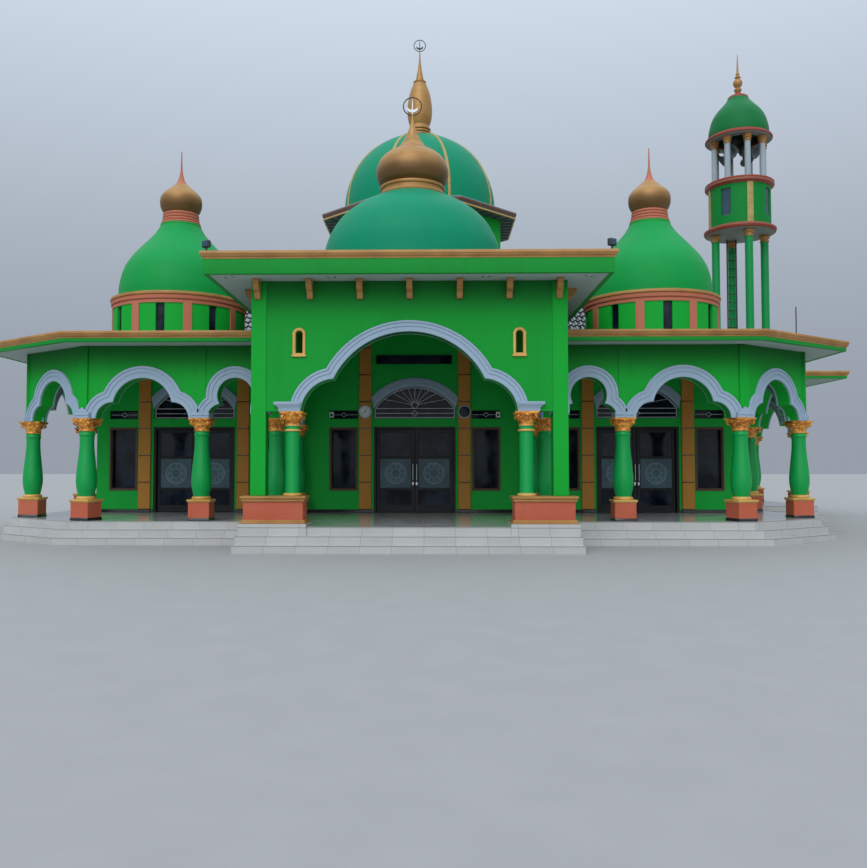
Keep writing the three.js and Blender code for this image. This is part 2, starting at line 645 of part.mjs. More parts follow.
function frontFinial() {
  const bulb = smooth([[690, 8050], [810, 8240], [828, 8400], [735, 8640], [446, 8890]], 5);
  const cone = smooth([[400, 8900], [230, 9080], [110, 9320]], 2);
  const profile = [
    [0, FRONT_NECK_FOOT], [720, FRONT_NECK_FOOT], [720, 8050], ...bulb, ...cone, [35, 9520], [18, 9740],
    [0, 9740],
  ];
  return joined([turned(profile, 16, { y: FRONT_DOME_Y }), hoop(223, 28, 30, 9940, FRONT_DOME_Y)]);
}

// Verandas

// The arcade wall over the veranda columns: along the front, across the canted corner, back along the
// side and in to the hall.
function arcadeWall() {
  const [, second, corner] = COLUMN_X;
  const line = [[PORTICO_HALF, COLUMN_LINE_Y], [corner, COLUMN_LINE_Y], [COLUMN_LINE_X, CANT_Y],
    [COLUMN_LINE_X, SIDE_BAY_END], [HALL_X, SIDE_BAY_END]];
  const wall = raised(wallPlan(line, ARCADE_WALL), SPRING, ROOF_UNDER);
  const canted = [COLUMN_LINE_X - corner, CANT_Y - COLUMN_LINE_Y];
  const cantMiddle = { x: corner + canted[0] / 2, y: COLUMN_LINE_Y + canted[1] / 2 };
  const cantAngle = Math.atan2(canted[1], canted[0]);
  const sideMiddle = { x: COLUMN_LINE_X, y: (CANT_Y + SIDE_BAY_END) / 2 };
  return cut(wall, [
    verandaCut(635, { x: 3820, y: COLUMN_LINE_Y }),
    verandaCut((corner - second) / 2 - 225, { x: (second + corner) / 2, y: COLUMN_LINE_Y }),
    verandaCut(Math.hypot(...canted) / 2 - 225, { ...cantMiddle, angle: cantAngle }),
    verandaCut((SIDE_BAY_END - CANT_Y) / 2 - 225, { ...sideMiddle, angle: Math.PI / 2 }),
  ]);
}

// A veranda column about its own axis, from the floor up: square pedestal, swelling shaft, capital.
function column({ slimmer = 0, capital = 270 } = {}) {
  const box = (half, z0, z1) => block([-half, half], [-half, half], [z0, z1]);
  const shaft = [[200, 455], [200, 530], [165, 535], [218, 820], [200, 1130], [153, 1650], [170, 1945]];
  const profile = [...shaft.map(([r, z]) => [r - slimmer, z]), [capital - 20, 2150]];
  return joined([
    box(230 - slimmer, 0, 415), box(258 - slimmer, 415, 455),
    turned([[0, 455], ...profile, [0, 2150]], 10), box(capital, 2150, SPRING - FLOOR),
  ]);
}

function columns() {
  const cantAngle = Math.atan2(CANT_Y - COLUMN_LINE_Y, COLUMN_LINE_X - COLUMN_X[2]);
  const places = [
    ["inner_column", COLUMN_X[0], COLUMN_LINE_Y, 0],
    ["middle_column", COLUMN_X[1], COLUMN_LINE_Y, 0],
    ["corner_column", COLUMN_X[2], COLUMN_LINE_Y, cantAngle / 2],
    ["side_column", COLUMN_LINE_X, CANT_Y, 0],
    ["rear_column", COLUMN_LINE_X, SIDE_BAY_END, 0],
  ];
  for (const [side, hand] of [[1, "right"], [-1, "left"]]) {
    for (const [name, x, y, angle] of places) {
      const mesh = piece(`${hand}_${name}`, column(), finishes.wall());
      mesh.position.set(side * x, y, FLOOR);
      mesh.rotation.z = side * angle;
    }
  }
}

// A flat roof slab with a projecting cornice along the top of its edge.
function flatRoof(plan, grownPlan) {
  return joined([raised(plan, ROOF_UNDER, WALL_TOP), raised(grownPlan, WALL_TOP - SLAB_CORNICE, WALL_TOP)]);
}

function verandaRoof() {
  const plan = (grow) => {
    const sideX = COLUMN_LINE_X + ROOF_SIDE_OVERHANG + grow;
    const backY = SIDE_BAY_END + ROOF_OVERHANG + grow;
    return [
      [PORTICO_HALF, -HALL_Y], [PORTICO_HALF, COLUMN_LINE_Y - ROOF_OVERHANG - grow],
      ...cant(ROOF_OVERHANG + grow, sideX), [sideX, backY], [HALL_X, backY], [HALL_X, -HALL_Y],
    ];
  };
  return flatRoof(plan(0), plan(CORNICE_REACH));
}

// The round drum under a veranda dome: eight slot windows and a ring cornice.
function sideDrum() {
  const at = { x: SIDE_DOME_X, y: SIDE_DOME_Y };
  const body = joined([
    disc(SIDE_DRUM_RADIUS, 24, WALL_TOP, SIDE_DRUM_TOP, at),
    disc(SIDE_RING_RADIUS, 24, SIDE_DRUM_TOP, SIDE_RING_TOP, at),
  ]);
  const slot = rectangle(-105, 105, WALL_TOP + 120, SIDE_DRUM_TOP - 50);
  const slots = [0, 1, 2, 3].map((k) =>
    upright(slot, 2 * SIDE_RING_RADIUS + PAST, { ...at, angle: (k * Math.PI) / 4 }));
  return cut(body, [disc(SIDE_DRUM_RADIUS - 120, 24, WALL_TOP - PAST, SIDE_RING_TOP + PAST, at), ...slots]);
}

// The bell-shaped veranda dome, and its bulb finial on a ringed neck.
function sideDome() {
  const bell = smooth([
    [1465, SIDE_RING_TOP], [1455, 6010], [1395, 6320], [1305, 6560], [1168, 6780], [992, 6990],
    [802, 7200], [618, 7412], [436, 7700],
  ], 9);
  const bulb = smooth([
    [420, 7950], [480, 8070], [513, 8230], [490, 8370], [400, 8490], [250, 8620], [110, 8770], [45, 8940],
  ], 8);
  const profile = shellProfile(bell, 90);
  profile.pop();
  const neck = [[465, 7700], [455, 7820], [410, 7860], [445, 7900]];
  const spike = [[26, 9030], [12, 9560], [0, 9560]];
  return turned([...profile, ...neck, ...bulb, ...spike], 16, { x: SIDE_DOME_X, y: SIDE_DOME_Y });
}

// Side porch

function porchArcade() {
  const wall = block([PORCH_COLUMN_X - ARCADE_WALL / 2, PORCH_COLUMN_X + ARCADE_WALL / 2],
    [-PORCH_COLUMN_Y - 150, PORCH_COLUMN_Y + 150], [SPRING, ROOF_UNDER]);
  const arches = [-1, 1].map((side) => verandaCut(PORCH_COLUMN_Y / 2 - 225,
    { x: PORCH_COLUMN_X, y: (side * PORCH_COLUMN_Y) / 2, angle: Math.PI / 2 }));
  const posts = [-1, 0, 1].map((k) => porchColumn(PORCH_COLUMN_X, k * PORCH_COLUMN_Y));
  return joined([cut(wall, arches), ...posts]);
}

// A porch column like those of the verandas, standing on the floor at (x, y).
function porchColumn(x, y) {
  const box = (half, z0, z1) => block([x - half, x + half], [y - half, y + half], [z0, z1]);
  const shaft = [[0, 920], [200, 920], [215, 1285], [153, 2115], [170, 2410], [250, 2615], [0, 2615]];
  return joined([
    box(230, FLOOR, 880), box(258, 880, 920), turned(shaft, 10, { x, y }), box(270, 2615, SPRING),
  ]);
}

function porchRoof() {
  const plan = (reach) => [
    [HALL_X, -PORCH_ROOF_Y - reach], [PORCH_ROOF_X + reach, -PORCH_ROOF_Y - reach],
    [PORCH_ROOF_X + reach, PORCH_ROOF_Y + reach], [HALL_X, PORCH_ROOF_Y + reach],
  ];
  return flatRoof(plan(0), plan(CORNICE_REACH));
}

// Minaret

// Four places on a circle, turned by an angle from the X and Y axes.
const around = (radius, angle) => [0, 1, 2, 3].map((k) => ({
  x: radius * Math.cos(angle + (k * Math.PI) / 2), y: radius * Math.sin(angle + (k * Math.PI) / 2),
}));

function minaret() {
  const tower = new THREE.Group();
  tower.position.set(MINARET_X, 0, 0);
  group.add(tower);
  const { galleryUnder, roomFloor, roomTop, belfryFloor, eaveUnder, domeFoot } = MINARET;
  const legs = around(MINARET_LEG_RING, 0).map((at) => disc(132, 8, WALL_TOP, galleryUnder, at));
  piece("minaret_legs", joined([...legs, disc(1205, 24, galleryUnder, roomFloor)]), finishes.wall(), tower);

  const drum = joined([disc(1030, 24, roomFloor, roomTop), disc(1155, 24, roomTop, belfryFloor)]);
  const windows = [1, 3].map((k) => upright(rectangle(-180, 180, roomFloor + 350, roomTop - 130), 3000,
    { angle: (k * Math.PI) / 4 }));
  const room = cut(drum, [disc(910, 24, roomFloor - PAST, roomTop), ...windows]);
  piece("minaret_room", room, finishes.wall(), tower);

  const posts = [...around(850, 0), ...around(850, Math.PI / 4)].map(
    (at) => disc(105, 8, belfryFloor, eaveUnder, at));
  const eaveHole = disc(740, 24, eaveUnder - PAST, domeFoot + PAST);
  const eave = cut(disc(1125, 24, eaveUnder, domeFoot), [eaveHole]);
  piece("minaret_belfry", joined([...posts, eave]), finishes.wall(), tower);

  const onion = smooth([
    [1000, domeFoot], [1000, 13420], [900, 13850], [660, 14200], [345, 14600],
  ], 6);
  const profile = shellProfile(onion, 80);
  profile.pop();
  const finial = [
    [345, 14670], [190, 14740], [90, 14830], [125, 14900], [125, 14950], [70, 15000], [157, 15110],
    [157, 15210], [60, 15310], [100, 15370], [50, 15450], [40, 15620], [12, 16200], [0, 16200],
  ];
  piece("minaret_dome", turned([...profile, ...finial], 16), finishes.dome(), tower);
}

// The building

piece("podium", podium(), finishes.tile());
hallWalls();
DOOR_CENTRES.forEach((centre, i) => door(DOOR_NAMES[i], centre));
piece("tile_roof", tileRoof(), finishes.roof());
piece("great_drum", greatDrum(), finishes.wall());
const dome = greatDome();
piece("great_dome", dome.body, finishes.dome());
piece("great_finial", greatFinial(dome.top), finishes.bronze());
piece("portico_front_wall", porticoFrontWall(), finishes.wall());
pair("portico_side_wall", porticoSideWall(), finishes.wall);
pair("portico_pier", porticoPier(), finishes.salmon);
piece("portico_canopy", porticoCanopy(), finishes.slab());
piece("front_dome", frontDome(), finishes.dome());
piece("front_finial", frontFinial(), finishes.bronze());
pair("arcade_wall", arcadeWall(), finishes.wall);
columns();
pair("veranda_roof", verandaRoof(), finishes.slab);
pair("veranda_drum", sideDrum(), finishes.wall);
pair("veranda_dome", sideDome(), finishes.dome);
piece("porch_arcade", porchArcade(), finishes.wall());
piece("porch_roof", porchRoof(), finishes.slab());
minaret();

export default group;
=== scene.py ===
# %% [markdown]
# # A domed mosque, dressed around its CAD frame
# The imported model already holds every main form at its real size, so this file never decides how
# big the building is. It loads that frame, keeps the plain walls, floor and glass and gives them
# finishes, and puts finely made surfaces in place of the domes, columns, mouldings and doors.
# Lengths are in metres, +Z is up, the ground is z = 0 and the entrance faces -Y.

# %% Load the frame
from math import acos, asin, atan, atan2, cos, hypot, pi, radians, sin, sqrt
import bpy
import numpy as np
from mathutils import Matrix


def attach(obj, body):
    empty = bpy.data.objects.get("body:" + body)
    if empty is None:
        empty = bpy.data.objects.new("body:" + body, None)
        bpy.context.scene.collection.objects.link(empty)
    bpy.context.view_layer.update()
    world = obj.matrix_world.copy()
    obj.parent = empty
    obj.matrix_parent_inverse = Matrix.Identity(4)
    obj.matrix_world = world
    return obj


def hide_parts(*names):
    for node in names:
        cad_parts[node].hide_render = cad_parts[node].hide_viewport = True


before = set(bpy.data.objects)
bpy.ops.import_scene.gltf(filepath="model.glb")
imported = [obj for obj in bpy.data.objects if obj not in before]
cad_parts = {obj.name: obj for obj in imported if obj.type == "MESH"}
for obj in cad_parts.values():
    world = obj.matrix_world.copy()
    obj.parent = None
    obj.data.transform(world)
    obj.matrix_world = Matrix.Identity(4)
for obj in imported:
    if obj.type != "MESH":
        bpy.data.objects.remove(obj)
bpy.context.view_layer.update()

# %% [markdown]
# ## The eye
# The building is looked at from standing eye height, a little to the right of its middle, with a
# moderately wide lens that is tilted up by two degrees. The tilt makes the upright lines lean in
# slightly, which a level camera with a shifted lens wouldn't do, so the camera is really turned.

# %% Camera
scene = bpy.context.scene
lens = bpy.data.cameras.new("eye_level_camera")
lens.sensor_width, lens.lens, lens.shift_x = 36.0, 35.96, 0.019
EYE, TILT_UP, TURN_LEFT = (0.484, -30.3, 1.6), 2.25, 1.1
camera = bpy.data.objects.new("eye_level_camera", lens)
camera.location = EYE
camera.rotation_euler = (radians(90 + TILT_UP), 0, radians(TURN_LEFT))
scene.collection.objects.link(camera)
scene.camera = camera
print("camera at", tuple(round(v, 3) for v in camera.location))

# %% [markdown]
# ## Surfaces from arrays
# A turned dome, a moulding round a roof edge and a band over an arch are all the same thing to a
# computer: a grid of points whose rows follow one direction and whose columns follow the other.
# They could be modelled by hand with Spin and Bevel, but a grid written as arrays keeps its exact
# sizes and is quick to change. The helpers below number the quads of a grid, close its seams and
# poles, and turn the shell right side out.

# %% Grids, seams and which way is out
def grid_quads(rows, cols, wrap_rows=False, wrap_cols=True):
    """The quads of a grid whose points are numbered row by row; a wrap joins last to first."""
    i, j = np.meshgrid(np.arange(rows - (not wrap_rows)), np.arange(cols - (not wrap_cols)),
        indexing="ij")
    i2, j2 = (i + 1) % rows, (j + 1) % cols
    return np.stack([i * cols + j, i * cols + j2, i2 * cols + j2, i2 * cols + j], -1).reshape(-1, 4)


def capped(points, closed=False):
    """A grid of points as a tube with its two ends shut, or, if closed, joined end to end."""
    rows, cols = points.shape[:2]
    cap = np.arange(cols)[None]
    ends = [] if closed else [cap[:, ::-1], cap + (rows - 1) * cols]
    return points, [grid_quads(rows, cols, wrap_rows=closed), *ends]


def welded(points, faces):
    """Points within a hundredth of a millimetre become one, and a quad that loses a corner by it
    becomes a triangle, which closes the poles of a turned form."""
    _, first, back = np.unique(np.round(points, 5) + 0.0, axis=0, return_index=True,
        return_inverse=True)
    kept = []
    for group in faces:
        group = back.reshape(-1)[group]
        lost = group == np.roll(group, -1, axis=1)
        if group.shape[1] != 4:
            kept.append(group)
            continue
        three = lost.sum(1) == 1
        order = np.argsort(lost[three], axis=1, kind="stable")[:, :3]
        kept += [group[lost.sum(1) == 0], np.take_along_axis(group[three], order, 1)]
    return points[first], kept


def outward(points, faces):
    """The signed volume of a closed shell is the sum over its triangles of a . (b x c) / 6; where
    it comes out below nought, every face is turned round."""
    volume = sum(np.einsum("ij,ij->", points[f[:, 0]], np.cross(points[f[:, k]],
        points[f[:, k + 1]])) for f in faces for k in range(1, f.shape[1] - 1))
    return faces if volume > 0 else [f[:, ::-1] for f in faces]


print("quads of a 3 x 4 tube:", len(grid_quads(3, 4)))

# %% [markdown]
# One object often has several finishes: a column is green, but its capital is gold. The class below
# gathers closed shells, notes the finish of each, and writes the lot into one mesh at the end.

# %% Many shells, one mesh
class Piece:
    """Closed shells of several finishes that become one object, mirrored to the left if wanted."""

    def __init__(self, name, mirror=False):
        self.name, self.points, self.faces, self.marks = name, [], [], []
        self.finishes, self.count, self.mirror = [], 0, mirror

    def add(self, shell, finish):
        """One more closed shell: x is multiplied by -1 in a mirrored piece."""
        points = np.asarray(shell[0], float).reshape(-1, 3) * (-1 if self.mirror else 1, 1, 1)
        points, faces = welded(points, shell[1])
        if finish not in self.finishes:
            self.finishes.append(finish)
        for group in outward(points, faces):
            if len(group):
                self.faces.append(group + self.count)
                self.marks.append(np.full(len(group), self.finishes.index(finish)))
        self.points.append(points)
        self.count += len(points)
        return self

    def make(self, slot, replaces=(), body="building", crease=38):
        """The mesh and its object, with edges sharp where faces meet at more than the crease."""
        corners = np.concatenate([f.ravel() for f in self.faces]).astype(np.int32)
        widths = np.concatenate([np.full(len(f), f.shape[1]) for f in self.faces])
        mesh = bpy.data.meshes.new(self.name)
        for finish in self.finishes:
            mesh.materials.append(finish)
        mesh.vertices.add(self.count)
        mesh.vertices.foreach_set("co", np.concatenate(self.points).astype(np.float32).ravel())
        mesh.loops.add(len(corners))
        mesh.loops.foreach_set("vertex_index", corners)
        mesh.polygons.add(len(widths))
        mesh.polygons.foreach_set("loop_start", (np.cumsum(widths) - widths).astype(np.int32))
        mesh.polygons.foreach_set("material_index", np.concatenate(self.marks).astype(np.int32))
        mesh.polygons.foreach_set("use_smooth", np.ones(len(widths), bool))
        mesh.update(calc_edges=True)
        mesh.set_sharp_from_angle(angle=radians(crease))
        thing = bpy.data.objects.new(self.name, mesh)
        scene.collection.objects.link(thing)
        if replaces:
            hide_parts(*replaces)
        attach(thing, body)
        print(f"{self.name}: {int((widths - 2).sum())} triangles")
        return thing


# %% [markdown]
# The basic shapes: a turned form, a stack of outlines, a profile carried along a path, and the two
# places where this building needs a path: round a plan, such as a roof's edge, and on an upright
# wall, such as over an arch. At a corner the profile is stretched along the mitre, as a plasterer
# runs a cornice, so that its width stays even on both sides.

# %% Turned forms and stacked outlines
def lathe(profile, at=(0.0, 0.0), sides=96, turn=0.0):
    """(radius, height) points turned about an upright axis: x = ax + r cos t, y = ay + r sin t.
    A profile that starts and ends on the axis closes in poles, and any other closes on itself."""
    r, z = np.asarray(profile, float).T
    t = turn + np.arange(sides) * 2 * pi / sides
    points = np.stack([at[0] + r[:, None] * np.cos(t), at[1] + r[:, None] * np.sin(t),
        z[:, None] + 0 * t], -1)
    return points, [grid_quads(len(r), sides, wrap_rows=not (r[0] == 0 and r[-1] == 0))]


def stack(rings):
    """Outlines of equally many points, one above the other, skinned and capped at both ends."""
    return capped(np.asarray(rings, float))


def eased_oblong(x0, x1, y0, y1, z, e):
    """The eight points of a level oblong whose corners are cut back by e."""
    return [(x0 + e, y0, z), (x1 - e, y0, z), (x1, y0 + e, z), (x1, y1 - e, z), (x1 - e, y1, z),
        (x0 + e, y1, z), (x0, y1 - e, z), (x0, y0 + e, z)]


def square_stack(profile, ease=0.012):
    """A square turned form: at each (half width, height) stands a square with eased corners."""
    return stack([eased_oblong(-h, h, -h, h, z, ease) for h, z in profile])


def block(low, high, ease=0.008):
    """A block between two corners with all its edges eased by a small flat."""
    (x0, y0, z0), (x1, y1, z1) = low, high
    e = min(ease, (x1 - x0) / 5, (y1 - y0) / 5, (z1 - z0) / 5)
    return stack([eased_oblong(x0 + inset, x1 - inset, y0 + inset, y1 - inset, z, e)
        for inset, z in ((e, z0), (0, z0 + e), (0, z1 - e), (e, z1))])


def moved(shell, x=0.0, y=0.0, z=0.0, turn=0.0):
    """A shell turned about the Z axis and moved."""
    p = np.asarray(shell[0], float).reshape(-1, 3)
    c, s = cos(turn), sin(turn)
    return np.stack([c * p[:, 0] - s * p[:, 1] + x, s * p[:, 0] + c * p[:, 1] + y, p[:, 2] + z],
        -1), shell[1]


print("corners of an eased block:", block((0, 0, 0), (1, 1, 1))[0].size // 3)

# %% Profiles carried along paths
def mitres(line, closed=False):
    """At each corner of a line, the vector to its right that keeps a carried profile's width:
    (u + v) turned right and divided by 1 + u . v, for the unit runs u and v that meet there."""
    p = np.asarray(line, float)
    before, after = np.roll(p, 1, 0), np.roll(p, -1, 0)
    if not closed:
        before[0], after[-1] = 2 * p[0] - p[1], 2 * p[-1] - p[-2]
    u = (p - before) / np.linalg.norm(p - before, axis=1)[:, None]
    v = (after - p) / np.linalg.norm(after - p, axis=1)[:, None]
    both = u + v
    return np.stack([both[:, 1], -both[:, 0]], 1) / (1 + (u * v).sum(1))[:, None]


def carry(profile, spine, side, rise, closed=False):
    """A closed profile carried along a path: point = spine + a side + b rise for each (a, b)."""
    a, b = np.asarray(profile, float).T
    points = spine[:, None] + a[:, None] * side[:, None] + b[:, None] * rise[:, None]
    return capped(points, closed)


def round_plan(profile, line, height=0.0, closed=False):
    """(outward, upward) points carried round a plan line, with outward to the right of its run."""
    line = np.asarray(line, float)
    flat, up = np.zeros(len(line)), np.tile([0.0, 0.0, 1.0], (len(line), 1))
    return carry(profile, np.column_stack([line, flat + height]),
        np.column_stack([mitres(line, closed), flat]), up, closed)


def on_wall(profile, line, place=(0.0, 0.0, 0.0), closed=False):
    """(to the right in the wall's plane, proud of it) points carried along a line drawn on a wall.
    place is (x, y, angle): the wall runs along that angle and faces to the right of it."""
    x, y, angle = place
    along = np.array([cos(angle), sin(angle), 0.0])
    face = np.array([sin(angle), -cos(angle), 0.0])
    up = np.array([0.0, 0.0, 1.0])
    line = np.asarray(line, float)
    out = mitres(line, closed)
    return carry(profile, np.array([x, y, 0.0]) + line[:, :1] * along + line[:, 1:] * up,
        out[:, :1] * along + out[:, 1:] * up, np.tile(face, (len(line), 1)), closed)


def smooth(points, count):
    """A smooth run through a few points: on each stretch a cubic leaves a point parallel to the
    line between its two neighbours."""
    p = np.asarray(points, float)
    p = np.vstack([2 * p[0] - p[1], p, 2 * p[-1] - p[-2]])
    u = np.linspace(0, len(p) - 3, count)
    k = np.minimum(u.astype(int), len(p) - 4)
    t = (u - k)[:, None]
    a, b, c, d = p[k], p[k + 1], p[k + 2], p[k + 3]
    return 0.5 * (2 * b + (c - a) * t + (2 * a - 5 * b + 4 * c - d) * t ** 2
        + (3 * b - a - 3 * c + d) * t ** 3)


def unit_run(line):
    """The direction of a line at each of its points, one unit long."""
    run = np.gradient(line, axis=0)
    return run / np.linalg.norm(run, axis=1)[:, None]


def shell_of(outer, thick):
    """The closed profile of a wall of even thickness inside a run of (radius, height) points."""
    run = unit_run(outer)
    inner = outer + thick * np.stack([-run[:, 1], run[:, 0]], 1)
    return np.vstack([outer, inner[inner[:, 0] > 0.02][::-1]])


def arc(x, z, radius, start, end, count):
    """Points (x + r cos t, z + r sin t) at even angles t."""
    t = np.linspace(start, end, count)
    return np.stack([x + radius * np.cos(t), z + radius * np.sin(t)], 1)


def circle(x, z, radius, count):
    """A closed ring of so many points about (x, z)."""
    return arc(x, z, radius, 0, 2 * pi, count + 1)[:-1]


def half_round(width, height, count=9):
    """A rounded strip's profile: half an ellipse above a foot that sinks a little into its base."""
    top = arc(0, 0, 1, 0, pi, count) * (width / 2, height)
    return np.vstack([top, [-width / 2, -0.02], [width / 2, -0.02]])


print("a smooth run ends at", smooth([(0, 0), (1, 1), (2, 0)], 5)[-1].tolist())

# %% [markdown]
# ## Finishes
# Nearly everything here is paint on plaster, and real paint isn't one flat colour: it is mottled
# where the roller overlapped, rain leaves faint upright streaks, and the trowel leaves soft waves
# below it. A picture texture could show that, but it would need unwrapping and a file. Noise that
# is read from the object's own coordinates has the same scale everywhere and needs neither.

# %% Node helpers
class Nodes:
    """A node tree in the making: each method adds nodes and returns their answer's socket."""

    def __init__(self, tree):
        self.tree = tree
        self.coords = self.add("TexCoord").outputs
        self.where = self.coords["Object"]

    def feed(self, socket, value):
        """A socket is linked to another one, or set to a plain value."""
        if isinstance(value, bpy.types.NodeSocket):
            self.tree.links.new(value, socket)
        else:
            socket.default_value = value

    def add(self, kind, inputs=None, **settings):
        """A shader node with its settings, and with its inputs fed."""
        node = self.tree.nodes.new("ShaderNode" + kind)
        for key, value in settings.items():
            setattr(node, key, value)
        for key, value in (inputs or {}).items():
            self.feed(node.inputs[key], value)
        return node

    def sums(self, operation, *values):
        """One Math node: an operation on numbers or sockets."""
        return self.add("Math", dict(enumerate(values)), operation=operation).outputs[0]

    def axes(self, socket):
        """The x, y and z of a position or direction."""
        return self.add("SeparateXYZ", {0: socket}).outputs

    def facing(self):
        """The x, y and z of the surface's own normal."""
        return self.axes(self.add("NewGeometry").outputs["Normal"])

    def noise(self, scale, detail=3.0, stretch=None):
        """Noise of so many lumps to the metre; a stretch scales it differently along each axis."""
        where = self.where
        if stretch:
            where = self.add("Mapping", {"Vector": where, "Scale": stretch}).outputs[0]
        return self.add("TexNoise", {"Vector": where, "Scale": scale, "Detail": detail}).outputs[0]

    def spread(self, value, low, high, to_low=0.0, to_high=1.0):
        """A value mapped smoothly from one range to another and held at its ends."""
        return self.add("MapRange", {0: value, 1: low, 2: high, 3: to_low, 4: to_high},
            interpolation_type="SMOOTHSTEP").outputs[0]

    def mix(self, amount, first, second):
        """Two colours mixed by an amount from 0 to 1."""
        pair = [(*c, 1.0) if isinstance(c, tuple) else c for c in (first, second)]
        return self.add("Mix", {0: amount, 6: pair[0], 7: pair[1]}, data_type="RGBA").outputs[2]


class Finish(Nodes):
    """A new material. Its gloss is the specular level, and other constant inputs go by name."""

    def __init__(self, name, gloss=0.5, **sockets):
        self.material = bpy.data.materials.new(name)
        self.material.use_nodes = True
        super().__init__(self.material.node_tree)
        self.shader = self.tree.nodes["Principled BSDF"].inputs
        for key, value in {"Specular_IOR_Level": gloss, **sockets}.items():
            self.shader[key.replace("_", " ")].default_value = value

    def done(self, colour, rough, height, distance=1.0):
        """The colour, roughness and bump reach the shader, and the material is ready."""
        bump = self.add("Bump", {"Height": height, "Distance": distance,
            "Strength": 1.0}).outputs[0]
        for key, socket in (("Base Color", colour), ("Roughness", rough), ("Normal", bump)):
            self.feed(self.shader[key], socket)
        return self.material


# %% Painted finishes
def toned(colour, share, other=(0.0, 0.0, 0.0)):
    """A colour with a share of another one in it, or, without one, darkened by that share."""
    return tuple(c * (1 - share) + o * share for c, o in zip(colour, other))


def painted(name, colour, rough=0.6, mottle=0.1, streak=0.05, grain=0.0012, grain_scale=28.0,
        wave=0.003, fade=(0.5, 0.5, 0.45), uneven=0.06, gloss=0.5):
    """Paint on plaster. Colour: the base mixed towards a faded tone by broad noise and by upright
    streaks. Height: fine grain plus slow trowel waves. Roughness: the base plus a little noise."""
    paint = Finish(name, gloss)
    broad, fine, slow = paint.noise(0.8, 4.0), paint.noise(grain_scale, 2.0), paint.noise(1.7, 1.0)
    runs = paint.noise(1.0, 3.0, (5.0, 5.0, 0.35))
    tone = paint.mix(paint.spread(broad, 0.35, 0.7, 0.0, min(1.0, mottle * 5)), colour,
        toned(colour, 0.14, fade))
    tone = paint.mix(paint.spread(runs, 0.5, 0.8, 0.0, min(1.0, streak * 4)), tone,
        toned(colour, 0.26))
    height = paint.sums("MULTIPLY_ADD", slow, wave, paint.sums("MULTIPLY", fine, grain))
    return paint.done(tone, paint.spread(fine, 0.3, 0.7, rough - uneven, rough + uneven), height)


GREEN_FADE = (0.02, 0.5, 0.08)
wall_paint = painted("wall_paint", (0.003, 0.37, 0.03), 0.6, fade=GREEN_FADE, gloss=0.18)
shade_paint = painted("fascia_paint", (0.008, 0.29, 0.035), 0.55, mottle=0.12, fade=GREEN_FADE,
    gloss=0.2)
# Painted shade: the minaret's wall paint is a darker copy of the green wall paint.
tower_paint_painted_shade = painted("tower_paint_painted_shade", (0.003, 0.21, 0.03), 0.55, fade=GREEN_FADE, gloss=0.15)
column_paint = painted("column_enamel", (0.001, 0.33, 0.065), 0.36, mottle=0.05, streak=0.03,
    grain=0.0, wave=0.0003, fade=GREEN_FADE, uneven=0.02, grain_scale=5.0, gloss=0.32)
band_paint = painted("arch_band_paint", (0.32, 0.43, 0.54), 0.5, mottle=0.08, streak=0.06,
    grain=0.0006, fade=(0.6, 0.65, 0.7), gloss=0.3)
ceiling_paint = painted("ceiling_paint", (0.43, 0.51, 0.49), 0.7, mottle=0.12,
    fade=(0.4, 0.38, 0.34), gloss=0.2)
pedestal_paint = painted("pedestal_paint", (0.5, 0.115, 0.06), 0.6, mottle=0.16, grain=0.006,
    grain_scale=18.0, fade=(0.8, 0.35, 0.25), gloss=0.2)
ring_paint = painted("salmon_ring_paint", (0.5, 0.16, 0.09), 0.5, mottle=0.12, fade=(0.6, 0.3, 0.2),
    gloss=0.25)
# Painted shade: a darker copy of the salmon ring paint, for the minaret's rings.
tower_ring_painted_shade = painted("tower_ring_paint_painted_shade", (0.33, 0.085, 0.05), 0.5, mottle=0.12,
    fade=(0.5, 0.3, 0.2))
rust_paint = painted("rust_ring_paint", (0.3, 0.055, 0.035), 0.5, mottle=0.12,
    fade=(0.5, 0.25, 0.2), gloss=0.25)
soffit_grey = painted("soffit_grey", (0.075, 0.115, 0.115), 0.6, mottle=0.2, fade=(0.2, 0.25, 0.25))
# Painted shade: a darker copy of the ceiling paint, for the minaret's soffits.
tower_soffit_painted_shade = painted("tower_soffit_painted_shade", (0.21, 0.24, 0.21), 0.7, mottle=0.2, fade=(0.4, 0.25, 0.2))
slab_top = painted("roof_screed", (0.36, 0.36, 0.34), 0.85, mottle=0.2, streak=0.02, grain=0.005,
    fade=(0.12, 0.13, 0.1))
white_paint = painted("white_column_paint", (0.34, 0.41, 0.44), 0.5, mottle=0.08, grain=0.0006,
    gloss=0.3)


def overlaid(material, amount, colour):
    """The same finish, mixed towards another colour by a rule of the object's own x, y and z."""
    nodes = Nodes(material.node_tree)
    base = nodes.tree.nodes["Principled BSDF"].inputs["Base Color"]
    share = amount(nodes, *nodes.axes(nodes.where))
    nodes.feed(base, nodes.mix(share, base.links[0].from_socket, colour))
    return material


def add_painted_shade(material, low, high, share, colour=(0.001, 0.075, 0.009)):
    """A finish that darkens from one level to another: painted shade, for the shadow under a roof
    or under the belly of a bulb."""
    ends = (low, high, 0.0, share) if low < high else (high, low, share, 0.0)
    return overlaid(material, lambda nodes, x, y, z: nodes.spread(z, *ends), colour)


def wall_with_painted_shade(name, low, high, share, colour=(0.003, 0.37, 0.03)):
    """The green wall paint, darkened from one level to another as painted shade under a soffit."""
    return add_painted_shade(painted(name, colour, 0.6, fade=GREEN_FADE, gloss=0.18), low, high, share)


